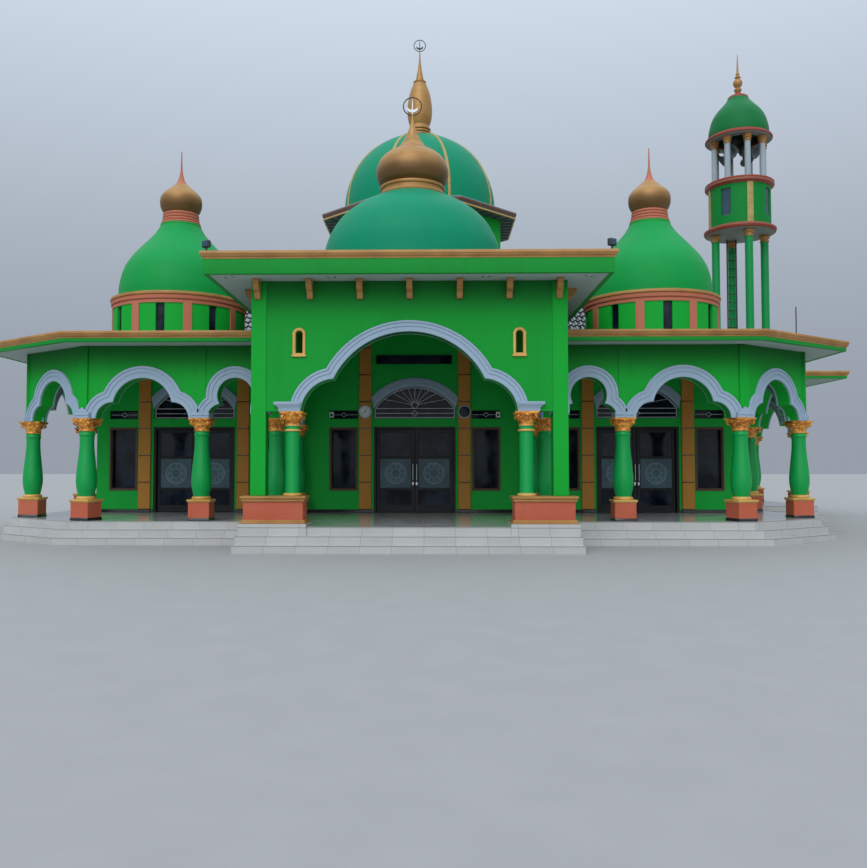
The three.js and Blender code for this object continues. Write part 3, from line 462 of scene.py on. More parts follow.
# Painted shade: the portico and arcade walls darken towards the soffits over them, and the
# portico's walls get a darker green base as well.
portico_wall_paint_painted_shade = wall_with_painted_shade("portico_wall_paint_painted_shade", 4.45, 5.31, 0.72, (0.0025, 0.31, 0.028))
portico_strip_paint_painted_shade = wall_with_painted_shade("portico_strip_paint_painted_shade", 4.9, 5.31, 0.45)
arcade_wall_paint_painted_shade = wall_with_painted_shade("arcade_wall_paint_painted_shade", 3.4, 4.26, 0.8)


def gilded(name, colour, deep, rough=0.38, metal=0.35, scale=2.5):
    """Gold-bronze paint: brushed on a little unevenly, with darker paint in random patches."""
    gilt = Finish(name, Metallic=metal)
    patches, brushed = gilt.noise(scale, 4.0), gilt.noise(2.0, 3.0, (1.0, 1.0, 5.0))
    mixed = gilt.sums("MULTIPLY_ADD", patches, 0.6, gilt.sums("MULTIPLY", brushed, 0.4))
    return gilt.done(gilt.mix(gilt.spread(mixed, 0.32, 0.62), deep, colour),
        gilt.spread(patches, 0.3, 0.7, rough - 0.04, rough + 0.08), patches, 0.001)


cornice_gold = gilded("cornice_gold", (0.44, 0.225, 0.062), (0.33, 0.15, 0.038), 0.48, 0.12)
capital_gold = gilded("capital_gold", (0.92, 0.44, 0.07), (0.34, 0.07, 0.012), 0.36, 0.3, 24.0)
bulb_bronze = gilded("bulb_bronze", (0.44, 0.24, 0.07), (0.36, 0.18, 0.045), 0.44, 0.35, 1.6)
# Painted shade: the bronze of the front and side bulbs darkens towards their lower bellies.
FRONT_BULB, SIDE_BULBS = (add_painted_shade(gilded(name, (0.46, 0.25, 0.07), (0.36, 0.18, 0.045), 0.4, 0.35,
    1.6), high, low, 0.8, (0.1, 0.045, 0.014)) for name, high, low in (("front_bulb_bronze_painted_shade", 8.66,
    8.22), ("side_bulb_bronze_painted_shade", 8.48, 8.1)))
rib_gold = gilded("rib_gold", (0.42, 0.34, 0.11), (0.34, 0.25, 0.07), 0.45, 0.2)
pale_gold = gilded("frame_gold", (0.72, 0.44, 0.12), (0.58, 0.31, 0.07), 0.42, 0.15)


def dome_finish(name, colour, high, rough=0.5):
    """Smooth dome paint: horizontal roller bands, faint upright rain marks, and a lighter tone on
    the upper side that makes it paler towards the sky: partly dust, partly painted sky light."""
    paint = Finish(name, 0.15)
    bands, rain = paint.noise(1.0, 4.0, (0.6, 0.6, 3.0)), paint.noise(1.0, 3.0, (5.0, 5.0, 0.25))
    # Dust and painted sky light: faces that look up are mixed towards the lighter tone.
    dust_and_painted_light = paint.sums("MULTIPLY", paint.spread(paint.facing()[2], 0.1, 1.0),
        paint.spread(bands, 0.3, 0.7, 0.15, 0.4))
    tone = paint.mix(paint.spread(rain, 0.52, 0.8, 0.0, 0.25), paint.mix(dust_and_painted_light, colour, high),
        toned(colour, 0.22))
    return paint.done(tone, paint.spread(bands, 0.3, 0.7, rough - 0.05, rough + 0.08), bands, 0.002)


teal_dome = dome_finish("great_dome_paint", (0.001, 0.25, 0.12), (0.006, 0.33, 0.18))
green_dome = dome_finish("side_dome_paint", (0.004, 0.3, 0.055), (0.02, 0.4, 0.14))
# Painted shade: a darker copy of the side domes' green, for the minaret's dome.
tower_dome_painted_shade = dome_finish("tower_dome_paint_painted_shade", (0.004, 0.16, 0.038), (0.015, 0.25, 0.09))

# %% [markdown]
# Plastic, powder-coated metal and glass are smoother, so they get fewer, finer variations. The
# windows show no room: their glass is dark and glossy and mirrors the light, with a faint waviness.

# %% Metal, glass and dark finishes
def coated(name, colour, rough, metal=0.0, speck=0.12, bump=0.0004, gloss=0.5, **sockets):
    """A factory finish: one colour, fine specks in tone and roughness, an orange-peel surface."""
    coat = Finish(name, gloss, Metallic=metal, **sockets)
    fine, broad = coat.noise(60.0, 2.0), coat.noise(2.2, 3.0)
    paler = tuple(min(1.0, c * (1 + 2 * speck) + 0.01 * speck) for c in colour)
    return coat.done(coat.mix(coat.spread(broad, 0.35, 0.7), colour, paler),
        coat.spread(broad, 0.3, 0.7, max(rough - 0.05, 0.02), rough + 0.06), fine, bump)


black_metal = coated("black_frame_metal", (0.006, 0.007, 0.009), 0.42, 0.1, gloss=0.3)
brown_frame = coated("brown_window_frame", (0.075, 0.032, 0.016), 0.5)
dark_glass = coated("dark_glass", (0.003, 0.006, 0.012), 0.05, speck=1.2, bump=0.0001, gloss=0.13)
frosted = coated("frosted_glass", (0.05, 0.095, 0.115), 0.4, speck=0.25, gloss=0.25)
etched = coated("etched_ornament", (0.22, 0.34, 0.4), 0.45)
tower_glass = coated("tower_glass", (0.035, 0.07, 0.1), 0.2, gloss=0.3)
grille_white = coated("grille_white", (0.42, 0.44, 0.48), 0.4)
steel = coated("brushed_steel", (0.45, 0.46, 0.48), 0.3, 0.85)
dark_iron = coated("dark_iron", (0.03, 0.045, 0.045), 0.55, 0.3)
horn_grey = coated("horn_grey", (0.09, 0.13, 0.13), 0.5)
white_plastic = coated("white_plastic", (0.75, 0.77, 0.78), 0.35)
skirting = coated("skirting_tile", (0.014, 0.015, 0.017), 0.15)
print("finishes:", len(bpy.data.materials))

# %% [markdown]
# ## The great dome
# A half ball on a short upright foot. A sphere primitive would do for the shape, but its poles and
# equator fall in the wrong places, so the outline is drawn as an arc and turned. The shell has a
# real inside, because the hall is open to it. Eight gilt ribs run up it to the foot of the finial:
# each is a half-round strip carried along the outline, with its own outward direction at every
# step.

# %% Great dome and ribs
DOME = {"radius": 2.63, "foot": 10.17, "spring": 10.65, "top_radius": 0.37, "shell": 0.12}
crown_angle = acos(DOME["top_radius"] / DOME["radius"])
dome_line = np.vstack([[DOME["radius"], DOME["foot"]], arc(0, DOME["spring"], DOME["radius"], 0,
    crown_angle, 49)])
dome = Piece("great_dome_shell").add(lathe(shell_of(dome_line, DOME["shell"]), sides=128),
    teal_dome)
dome.make("teal_dome", ["great_dome"])


def rib(line, angle, width, height):
    """A half-round strip up a dome: the outline (r, z) turned to one angle is the spine, the level
    tangent is its side, and the outline's own normal is its rise."""
    run = unit_run(line)
    c, s = cos(angle), sin(angle)
    spine = np.stack([line[:, 0] * c, line[:, 0] * s, line[:, 1]], 1)
    side = np.tile([-s, c, 0.0], (len(line), 1))
    rise = np.stack([run[:, 1] * c, run[:, 1] * s, -run[:, 0]], 1)
    return carry(half_round(width, height), spine, side, rise)


ribs = Piece("great_dome_ribs")
for k in range(8):
    ribs.add(rib(dome_line, pi / 8 + k * pi / 4, 0.11, 0.035), rib_gold)
ribs.add(lathe([(2.62, 10.165), (2.7, 10.165), (2.71, 10.19), (2.7, 10.23), (2.66, 10.25),
    (2.62, 10.25)], sides=128), rib_gold)
ribs.add(lathe([(0.36, 13.23), (0.46, 13.2), (0.47, 13.225), (0.44, 13.26), (0.36, 13.27)],
    sides=64), rib_gold)
ribs.make("bronze_paint")

# %% [markdown]
# ## Finials
# Each finial is turned like a chair leg: rings at the foot, a vase, a collar, a spike, and on the
# two middle ones a hoop of bent rod with a crescent standing in it. The outline is given by few
# points where it is smooth and by close pairs where a groove has to stay crisp.

# %% Great finial
def hoop(radius, wire, z, y=0.0):
    """A ring of round rod that stands upright and faces the front: a small circle carried round."""
    t = np.linspace(0, 2 * pi, 49)[:-1]
    ball = np.stack([np.cos(t), 0 * t, np.sin(t)], 1)
    return carry(circle(0, 0, wire, 10), np.array([0.0, y, z]) + radius * ball, ball,
        np.tile([0.0, 1.0, 0.0], (len(t), 1)), closed=True)


def crescent(radius, z, y=0.0, thick=0.018):
    """A flat crescent with its horns up: between an outer circle and a smaller one set higher."""
    t = np.linspace(-pi * 0.8, -pi * 0.2, 25)
    outer = np.stack([radius * np.cos(t), z + radius * np.sin(t)], 1)
    s = np.linspace(outer[-1][0], outer[0][0], 25)
    inner = np.stack([s, z - radius * 0.59 * np.sqrt(np.clip(1 - (s / (outer[-1][0] * 1.02)) ** 2,
        0, 1))], 1)
    line = np.vstack([outer, inner])
    rings = [np.column_stack([line[:, 0], np.full(len(line), y + d), line[:, 1]])
        for d in (-thick / 2, thick / 2)]
    return stack(rings)


finial = Piece("great_finial_turned")
rings_at_foot = [(0.0, 13.2), (0.37, 13.2), (0.37, 13.3)]
for k in range(3):
    z = 13.3 + 0.105 * k
    rings_at_foot += [(0.335, z + 0.01), (0.335, z + 0.022), (0.385, z + 0.035), (0.392, z + 0.06),
        (0.38, z + 0.09), (0.37, z + 0.098)]
vase = smooth([(0.35, 13.63), (0.335, 13.7), (0.38, 13.82), (0.425, 14.02), (0.437, 14.28),
    (0.415, 14.56), (0.352, 14.88), (0.262, 15.14), (0.205, 15.25)], 40)
collar = [(0.205, 15.262), (0.222, 15.27), (0.225, 15.3), (0.205, 15.315), (0.15, 15.33)]
spike = smooth([(0.148, 15.34), (0.118, 15.5), (0.075, 15.72), (0.045, 15.95), (0.025, 16.2),
    (0.016, 16.46)], 22)
finial.add(lathe([*rings_at_foot, *vase, *collar, *spike, (0.0, 16.47)], sides=64), bulb_bronze)
finial.add(hoop(0.205, 0.014, 16.62), dark_iron)
finial.add(crescent(0.15, 16.63), dark_iron)
finial.add(lathe([(0, 16.4), (0.013, 16.4), (0.012, 16.74), (0.004, 16.8), (0, 16.8)], sides=16),
    dark_iron)
finial.make("bronze_paint", ["great_finial"])

# %% Front dome and its finial
FRONT_Y = -10.6
front_line = smooth([(1.99, 5.745), (2.03, 6.05), (1.965, 6.62), (1.7, 7.15), (1.265, 7.53),
    (0.72, 7.81)], 49)
front_dome = Piece("front_dome_shell")
front_dome.add(lathe(shell_of(front_line, 0.1), (0, FRONT_Y), 128), teal_dome)
front_dome.add(lathe([(1.95, 5.745), (2.04, 5.745), (2.05, 5.77), (2.035, 5.8), (1.95, 5.81)],
    (0, FRONT_Y), 96), rib_gold)
front_dome.make("teal_dome", ["front_dome"])

front_finial = Piece("front_finial_turned")
neck = [(0.0, 7.79), (0.745, 7.79), (0.755, 7.83), (0.735, 7.87), (0.705, 7.88), (0.705, 7.955),
    (0.735, 7.965), (0.745, 7.995), (0.735, 8.025), (0.7, 8.04)]
bulb = smooth([(0.69, 8.05), (0.77, 8.13), (0.818, 8.25), (0.828, 8.4), (0.79, 8.55), (0.715, 8.68),
    (0.6, 8.79), (0.455, 8.875)], 40)
shoulder = [(0.445, 8.878), (0.445, 8.893), (0.425, 8.9)]
cone = smooth([(0.42, 8.905), (0.33, 8.96), (0.265, 9.04), (0.235, 9.09)], 12)
step = [(0.215, 9.1), (0.215, 9.115)]
tip = smooth([(0.21, 9.12), (0.15, 9.23), (0.108, 9.34), (0.07, 9.44), (0.038, 9.56),
    (0.018, 9.76)], 18)
front_finial.add(lathe([*neck, (0.0, 8.045)], (0, FRONT_Y), 96), bulb_bronze)
front_finial.add(lathe([(0.0, 8.035), *bulb, *shoulder, *cone, *step, *tip, (0.0, 9.765)],
    (0, FRONT_Y), 96), FRONT_BULB)
front_finial.add(hoop(0.209, 0.013, 9.94, FRONT_Y), dark_iron)
front_finial.add(crescent(0.15, 9.95, FRONT_Y), white_plastic)
front_finial.add(lathe([(0, 9.7), (0.016, 9.7), (0.014, 10.05), (0.004, 10.12), (0, 10.12)],
    (0, FRONT_Y), 16), white_plastic)
front_finial.make("bronze_paint", ["front_finial"])

# %% [markdown]
# ## Round drums with windows cut through
# The walls under the side domes and the lookout room of the minaret are round and have real
# openings. A boolean would leave ragged triangles, so the wall is written as cells of angle and
# height. A cell is solid or it isn't, and a face is made only where solid meets air: outside,
# inside, and in the reveals between a solid cell and an open one.

# %% A pierced round wall
def pierced_drum(at, outer, inner, levels, centres, half, window, step=3.75):
    """Cells of angle and height between two radii, without those inside a window. The angles are
    even steps plus the two edges of each window; `window` is the pair of levels that bound the
    openings."""
    marks = np.radians(np.arange(0, 360, step))
    edges = np.array([c + s * half for c in centres for s in (-1, 1)]) % (2 * pi)
    gap = np.abs((marks[:, None] - edges + pi) % (2 * pi) - pi).min(1)
    t = np.sort(np.concatenate([marks[gap > 0.012], edges]))
    z = np.asarray(levels, float)
    middle_t = t + ((np.roll(t, -1) - t) % (2 * pi)) / 2
    middle_z = (z[1:] + z[:-1]) / 2
    away = np.abs((middle_t[:, None] - np.asarray(centres) + pi) % (2 * pi) - pi).min(1)
    open_cell = (away < half)[:, None] & ((middle_z > window[0]) & (middle_z < window[1]))[None]
    filled = np.pad(~open_cell, ((0, 0), (1, 1)))
    n, m = len(t), len(z)
    grid = np.stack([np.stack([at[0] + r * np.cos(t)[:, None] + 0 * z,
        at[1] + r * np.sin(t)[:, None] + 0 * z, z + 0 * t[:, None]], -1) for r in (outer, inner)])
    number = lambda wall, i, j: wall * n * m + (i % n) * m + j
    i, j = np.nonzero(filled[:, 1:-1])
    faces = [np.stack([number(0, i, j), number(0, i + 1, j), number(0, i + 1, j + 1),
        number(0, i, j + 1)], 1), np.stack([number(1, i, j), number(1, i, j + 1),
        number(1, i + 1, j + 1), number(1, i + 1, j)], 1)]
    for shift, flip in ((1, False), (-1, True)):
        i, j = np.nonzero(filled[:, 1:-1] & ~np.roll(filled, -shift, 0)[:, 1:-1])
        k = i + (shift == 1)
        quad = np.stack([number(0, k, j), number(1, k, j), number(1, k, j + 1),
            number(0, k, j + 1)], 1)
        faces.append(quad[:, ::-1] if flip else quad)
        level = slice(2, None) if shift == 1 else slice(None, -2)
        i, j = np.nonzero(filled[:, 1:-1] & ~filled[:, level])
        k = j + (shift == 1)
        quad = np.stack([number(0, i, k), number(0, i + 1, k), number(1, i + 1, k),
            number(1, i, k)], 1)
        faces.append(quad[:, ::-1] if flip else quad)
    return grid, faces


def ring_sector(at, inner, outer, z0, z1, middle, half, count=7):
    """A curved block of a round wall: a rectangle carried along an arc of the circle."""
    t = np.linspace(middle - half, middle + half, count)
    radial = np.stack([np.cos(t), np.sin(t), 0 * t], 1)
    spine = np.array([at[0], at[1], 0.0]) + 0 * radial
    profile = [(inner, z0), (outer - 0.006, z0), (outer, z0 + 0.006), (outer, z1 - 0.006),
        (outer - 0.006, z1), (inner, z1)]
    return carry(profile, spine, radial, np.tile([0.0, 0.0, 1.0], (count, 1)))


# %% [markdown]
# ## Side drums and bell domes
# Each veranda carries a low round drum with eight slot windows between salmon pilasters, a cornice
# ring in gold and salmon, and a bell-shaped dome with a ringed neck and a bronze bulb. Both sides
# are alike, so the right one is made and the left one is its mirror image.

# %% Side drums
HANDS = (("right", False), ("left", True))
SIDE_CENTRE = (5.845, -8.9)
SLAB_UNDER, SLAB_TOP = 4.262, 4.487
cornice_ring = [(1.5, 5.44), (1.6, 5.44), (1.605, 5.5), (1.585, 5.515), (1.585, 5.53),
    (1.625, 5.54), (1.635, 5.6), (1.615, 5.615), (1.612, 5.63)]
gold_ring = [(1.5, 5.63), (1.612, 5.63), (1.645, 5.645), (1.65, 5.68), (1.642, 5.705), (1.6, 5.72),
    (1.5, 5.72)]
for hand, mirror in HANDS:
    drum = Piece(f"{hand}_side_drum", mirror)
    levels = [SLAB_TOP, 4.607, 5.43, 5.6, 5.715]
    drum.add(pierced_drum(SIDE_CENTRE, 1.58, 1.46, levels, np.arange(8) * pi / 4, 0.105 / 1.58,
        (4.6, 5.44)), wall_paint)
    for k in range(8):
        turn = k * pi / 4
        drum.add(ring_sector(SIDE_CENTRE, 1.5, 1.602, SLAB_TOP, 5.47, turn + pi / 8, 0.062),
            ring_paint)
        drum.add(ring_sector(SIDE_CENTRE, 1.505, 1.52, 4.6, 5.45, turn, 0.105 / 1.5, 5), dark_glass)
        drum.add(ring_sector(SIDE_CENTRE, 1.5, 1.592, 4.565, 4.607, turn, 0.135 / 1.58, 5),
            shade_paint)
    drum.add(lathe(cornice_ring + [(1.5, 5.63)], SIDE_CENTRE, 128), ring_paint)
    drum.add(lathe(gold_ring, SIDE_CENTRE, 128), cornice_gold)
    drum.add(lathe([(1.5, SLAB_TOP), (1.615, SLAB_TOP), (1.615, 4.52), (1.585, 4.545),
        (1.5, 4.545)], SIDE_CENTRE, 96), shade_paint)
    drum.make("green_plaster", [f"{hand}_veranda_drum"])

# %% Side domes
bell = smooth([(1.465, 5.72), (1.455, 6.01), (1.395, 6.32), (1.305, 6.56), (1.168, 6.78),
    (0.992, 6.99), (0.802, 7.2), (0.618, 7.412), (0.447, 7.69)], 64)
side_neck = [(0.3, 7.66), (0.475, 7.66), (0.485, 7.69), (0.475, 7.715), (0.455, 7.72)]
for z, r in ((7.725, 0.452), (7.8, 0.44), (7.875, 0.432)):
    side_neck += [(r - 0.02, z), (r, z + 0.012), (r + 0.008, z + 0.035), (r, z + 0.058),
        (r - 0.02, z + 0.068)]
side_neck += [(0.41, 7.95), (0.3, 7.95)]
side_bulb = smooth([(0.4, 7.93), (0.46, 8.02), (0.5, 8.12), (0.513, 8.24), (0.495, 8.36),
    (0.43, 8.46), (0.345, 8.535), (0.25, 8.62), (0.16, 8.7)], 40)
side_tip = smooth([(0.152, 8.7), (0.098, 8.78), (0.062, 8.88), (0.04, 8.98), (0.024, 9.12),
    (0.012, 9.55)], 30)
for hand, mirror in HANDS:
    dome = Piece(f"{hand}_bell_dome", mirror)
    for shell, finish in ((lathe(shell_of(bell, 0.09), SIDE_CENTRE, 128), green_dome),
            (lathe(side_neck, SIDE_CENTRE, 64), ring_paint), (lathe([(0, 7.92), *side_bulb,
            (0, 8.705)], SIDE_CENTRE, 64), SIDE_BULBS), (lathe([(0, 8.69), *side_tip, (0, 9.56)],
            SIDE_CENTRE, 48), ring_paint), (lathe([(0.44, 7.6), (0.5, 7.6), (0.502, 7.625),
            (0.49, 7.66), (0.44, 7.66)], SIDE_CENTRE, 64), shade_paint)):
        dome.add(shell, finish)
    dome.make("green_dome", [f"{hand}_veranda_dome"])

# %% [markdown]
# ## Columns
# Every column stands on a square salmon pedestal between gold mouldings. The shaft swells low down
# like a vase and is turned; the capital is a bell of leaves with a scroll under each corner of a
# hollow-sided slab. Carving the leaves by hand would take days. Here the bell's radius is a turned
# outline plus two waves round it: r = outline + lobes x leaf height, so that eight leaves curl out.

# %% Capitals
def leafy_bell(foot, top, radii, lobes=8, depth=0.03, sides=96, rows=25):
    """A turned bell whose radius also follows leaves: r = smooth(radii) + depth u^2 |cos(lobes t /
    2)| on two tiers that are half a leaf apart, where u runs from 0 to 1 up each tier."""
    z = np.linspace(foot, top, rows)
    base = smooth(np.column_stack([radii, np.linspace(foot, top, len(radii))]), rows)[:, 0]
    t = np.arange(sides) * 2 * pi / sides
    u = (z - foot) / (top - foot)
    tier = np.where(u < 0.5, u * 2, u * 2 - 1)[:, None]
    leaf = np.abs(np.cos(lobes * t / 2 + np.where(u < 0.5, 0, pi / 2)[:, None]))
    r = base[:, None] + depth * tier ** 2 * (leaf - 0.25)
    points = np.stack([r * np.cos(t), r * np.sin(t), z[:, None] + 0 * t], -1)
    return capped(points)


def scroll(angle, reach, z, size, wire):
    """A volute: a flat rod, thinning inward, along a spiral radius = size (1 - 0.72 s) in the
    upright plane at one angle. It starts below, on the bell, as a stem."""
    s = np.linspace(0, 1, 34)
    turn = pi * 1.05 - s * pi * 3.1
    radius = size * (1 - 0.72 * s)
    c, n = cos(angle), sin(angle)
    out = np.array([c, n, 0.0])
    centre_line = (reach - size) * out + radius[:, None] * np.cos(turn)[:, None] * out
    spine = centre_line + np.stack([0 * s, 0 * s, z + radius * np.sin(turn)], 1)
    radial = np.cos(turn)[:, None] * out + np.sin(turn)[:, None] * np.array([0, 0, 1.0])
    flat = np.tile([-n, c, 0.0], (len(s), 1))
    thick = (wire * (1 - 0.45 * s))[:, None]
    return carry(circle(0, 0, 1, 8) * (1.0, 1.9), spine, radial * thick, flat * thick)


def hollow_slab(half, bite, z0, z1, count=9):
    """A square slab whose sides curve in, each by a parabola of depth `bite`, with cut corners."""
    s = np.linspace(-0.9, 0.9, count)
    side = np.column_stack([s * half, -half + bite * (1 - (s / 0.9) ** 2)])
    plan = np.vstack([side @ np.array([[c, n], [-n, c]])
        for c, n in ((1, 0), (0, 1), (-1, 0), (0, -1))])
    rings = [np.column_stack([plan * k, np.full(len(plan), z)])
        for k, z in ((0.94, z0), (0.96, z0 + 0.012), (1.0, z0 + 0.02), (1.0, z1))]
    return stack(rings)


def capital(column, place, foot, top, neck, half):
    """Leaves, four scrolls, a flower on each side and a hollow slab, between two heights."""
    tall = top - foot
    bell_top = foot + tall * 0.8
    radii = [neck, neck * 1.02, neck * 1.16, half * 0.8, half * 0.92]
    column.add(place(leafy_bell(foot, bell_top, radii, depth=0.035)), capital_gold)
    for k in range(4):
        corner = pi / 4 + k * pi / 2
        column.add(place(scroll(corner, half * 1.2, bell_top - tall * 0.2, tall * 0.21, 0.021)),
            capital_gold)
        side = k * pi / 2
        button = lathe([(0, -0.012), (0.03, -0.012), (0.034, 0.004), (0.022, 0.016), (0, 0.02)],
            sides=12)
        points = np.asarray(button[0]) @ np.array([[0, 0, 1.0], [0, 1.0, 0], [1.0, 0, 0]])
        shell = moved((points + (half * 0.9, 0, bell_top - 0.01), button[1]), turn=side)
        column.add(place(shell), capital_gold)
    column.add(place(hollow_slab(half, half * 0.12, bell_top, top)), capital_gold)


# %% Veranda and porch columns
FLOOR = 0.465


def raise_column(column, x, y, angle=0.0):
    """One column, made about its own axis with the floor at 0, and added at (x, y) in a piece."""
    place = lambda shell: moved(shell, x, y, FLOOR, angle)
    column.add(place(square_stack([(0.222, 0.0), (0.23, 0.008), (0.23, 0.392), (0.222, 0.4)])),
        pedestal_paint)
    column.add(place(square_stack([(0.231, 0.0), (0.238, 0.004), (0.238, 0.055), (0.233, 0.062)])),
        skirting)
    column.add(place(square_stack([(0.234, 0.39), (0.24, 0.396), (0.243, 0.408), (0.253, 0.418),
        (0.258, 0.424), (0.258, 0.446), (0.25, 0.455)])), pale_gold)
    foot_ring = [(0, 0.453), (0.196, 0.453), (0.206, 0.465), (0.21, 0.482), (0.204, 0.502),
        (0.19, 0.515), (0.176, 0.523), (0, 0.527)]
    column.add(place(lathe(foot_ring, sides=48)), pale_gold)
    shaft = smooth([(0.166, 0.52), (0.184, 0.6), (0.208, 0.72), (0.219, 0.84), (0.215, 0.97),
        (0.203, 1.1), (0.183, 1.3), (0.165, 1.47), (0.155, 1.6), (0.152, 1.72), (0.154, 1.82)], 44)
    collar = [(0.16, 1.842), (0.168, 1.852), (0.168, 1.872), (0.158, 1.884), (0.155, 1.92),
        (0.158, 1.955)]
    column.add(place(lathe([(0, 0.52), *shaft, *collar, (0, 1.956)], sides=64)), column_paint)
    column.add(place(lathe([(0, 1.935), (0.166, 1.935), (0.174, 1.948), (0.168, 1.964), (0, 1.97)],
        sides=48)), capital_gold)
    capital(column, place, 1.962, 2.215, 0.16, 0.245)


CANT = atan2(1.3, 1.79)
COLUMN_PLACES = {"inner": (2.95, -11.45), "middle": (4.58, -11.45),
    "corner": (7.11, -11.45, CANT / 2), "side": (8.9, -10.15), "rear": (8.9, -7.05)}
for hand, mirror in HANDS:
    for spot, place in COLUMN_PLACES.items():
        column = Piece(f"{hand}_{spot}_column_finished", mirror)
        raise_column(column, *place)
        column.make("green_column", [f"{hand}_{spot}_column"])
for hand, mirror in HANDS:
    column = Piece(f"{hand}_portico_rear_column", mirror)
    raise_column(column, 2.95, -8.4)
    column.make("green_column")
PORCH_X, PORCH_BAY = 11.6, 3.6
porch = Piece("porch_columns")
for k in (-1, 0, 1):
    raise_column(porch, PORCH_X, PORCH_BAY * k)

# %% [markdown]
# ## Arches
# The arches have three lobes: a broad crown circle between two side circles that meet it in cusps.
# Their openings are already cut in the walls. The moulded white band round each is one section that
# runs along the curve on both faces of the wall, with the same wall paint as elsewhere in the depth
# between them. Copies of the arch with grown radii keep the cusps sharp, where an offset line would
# fold.

# %% Three-lobed arch lines
def arch_line(arch, spring, grow=0.0, fine=20):
    """The curve from the right foot over the crown to the left foot, with its three radii grown by
    a distance. The cusps are where the side circles cross the crown circle, by the cosine rule."""
    top_z, top_r, side_x, side_z, side_r = arch
    top_r, side_r = top_r + grow, side_r + grow
    apart = hypot(side_x, side_z - top_z)
    tilt = atan2(side_z - top_z, side_x)
    reach = acos((apart ** 2 + top_r ** 2 - side_r ** 2) / (2 * apart * top_r))
    cusp = (top_r * cos(tilt + reach), top_z + top_r * sin(tilt + reach))
    cusp_angle = atan2(cusp[1] - side_z, cusp[0] - side_x)
    foot_angle = asin((spring - side_z) / side_r)
    right = arc(side_x, side_z, side_r, foot_angle, cusp_angle, fine)
    crown = arc(0, top_z, top_r, tilt + reach, pi - tilt - reach, 2 * fine)
    return np.vstack([right, crown[1:-1], right[::-1] * (-1, 1)])


def veranda_arch(half):
    """Crown height and radius, then side distance, height and radius, for a half opening: the crown
    circle is 0.65 of it wide and always reaches 3.585, and the side circles are 0.55 of it."""
    top_r, side_r = 0.65 * half, min(0.385, 0.55 * half)
    return 3.585 - top_r, top_r, half - side_r, 2.67, side_r


def band_profile(width):
    """The band's section, from its outer edge to the opening: a raised bead, a groove, a broad
    flat, a groove and a second bead, as (distance from the opening's edge, distance proud of the
    wall)."""
    steps = [(1.0, -0.004), (1.0, 0.04), (0.97, 0.05), (0.8, 0.05), (0.77, 0.03), (0.66, 0.03),
        (0.63, 0.044), (0.42, 0.044), (0.39, 0.028), (0.28, 0.028), (0.25, 0.042)]
    return [(width * a, b) for a, b in steps] + [(-0.018, 0.042), (-0.026, 0.034), (-0.026, -0.004)]


def along_arch(arch, spring, section, place):
    """Each point (a, b) of a section runs along the same arch with its radii grown by a, standing b
    proud of the wall, so that the cusps stay sharp on every line of the moulding."""
    x, y, angle = place
    along = np.array([cos(angle), sin(angle), 0.0])
    face = np.array([sin(angle), -cos(angle), 0.0])
    points = np.stack([(arch_line(arch, spring, a)[:, :, None] * np.stack([along,
        (0, 0, 1.0)])[None]).sum(1) + (x, y, 0) + b * face for a, b in section], 1)
    return capped(points)


SPRING, WALL = 2.68, 0.3


def arch_band(made, arch, spring, width, place):
    """The band on both faces of the wall, and a smooth green lining in the depth between them."""
    front = band_profile(width)
    lining = [(-0.024, 0.002), (-0.024, -WALL - 0.002), (0.004, -WALL - 0.002), (0.004, 0.002)]
    for section, finish in ((front, band_paint), ([(a, -WALL - b) for a, b in front], band_paint),
            (lining, arcade_wall_paint_painted_shade)):
        made.add(along_arch(arch, spring, section, place), finish)


def impost(place, half, foot=SPRING):
    """The white block over a column where two bands meet: a plain block with a groove, and a wedge
    above it that fills the notch between the bands, on both faces of the wall."""
    x, y, angle = place
    made = []
    for z0, z1, proud in ((foot, foot + 0.05, 0.058), (foot + 0.045, foot + 0.062, 0.04),
            (foot + 0.058, foot + 0.125, 0.058)):
        made.append(moved(block((-half, -proud, z0), (half, WALL + proud, z1), 0.006), x, y, 0,
            angle))
    wedge = [(-half + 0.03, foot + 0.12), (half - 0.03, foot + 0.12), (0.012, foot + 0.235),
        (-0.012, foot + 0.235)]
    rings = [[(u, v, z) for u, z in wedge] for v in (-0.036, WALL + 0.036)]
    made.append(moved(stack(rings), x, y, 0, angle))
    return made


face_shift = lambda x, y, angle: (x + WALL / 2 * sin(angle), y - WALL / 2 * cos(angle), angle)
VERANDA_ARCHES = [(0.635, 0.225, (3.82, -11.45, 0.0)), (1.04, 0.235, (5.845, -11.45, 0.0)),
    (hypot(1.79, 1.3) / 2 - 0.225, 0.235, (8.005, -10.8, CANT)),
    (1.325, 0.235, (8.9, -8.6, pi / 2)), (0.615, 0.2, (2.98, -12.275, pi / 2)),
    (1.3, 0.2, (2.98, -9.925, pi / 2))]
VERANDA_IMPOSTS = [((4.58, -11.45, 0.0), 0.2), ((7.11, -11.45, CANT / 2), 0.2),
    ((8.9, -10.15, (CANT + pi / 2) / 2), 0.2), ((8.9, -7.05, pi / 2), 0.2)]
PORCH_HALF = 1.575
PORCH_ARCHES = [(PORCH_HALF, 0.235, (PORCH_X, side * PORCH_BAY / 2, pi / 2)) for side in (-1, 1)]
PORCH_IMPOSTS = [((PORCH_X, PORCH_BAY * k, pi / 2), 0.21) for k in (-1, 0, 1)]
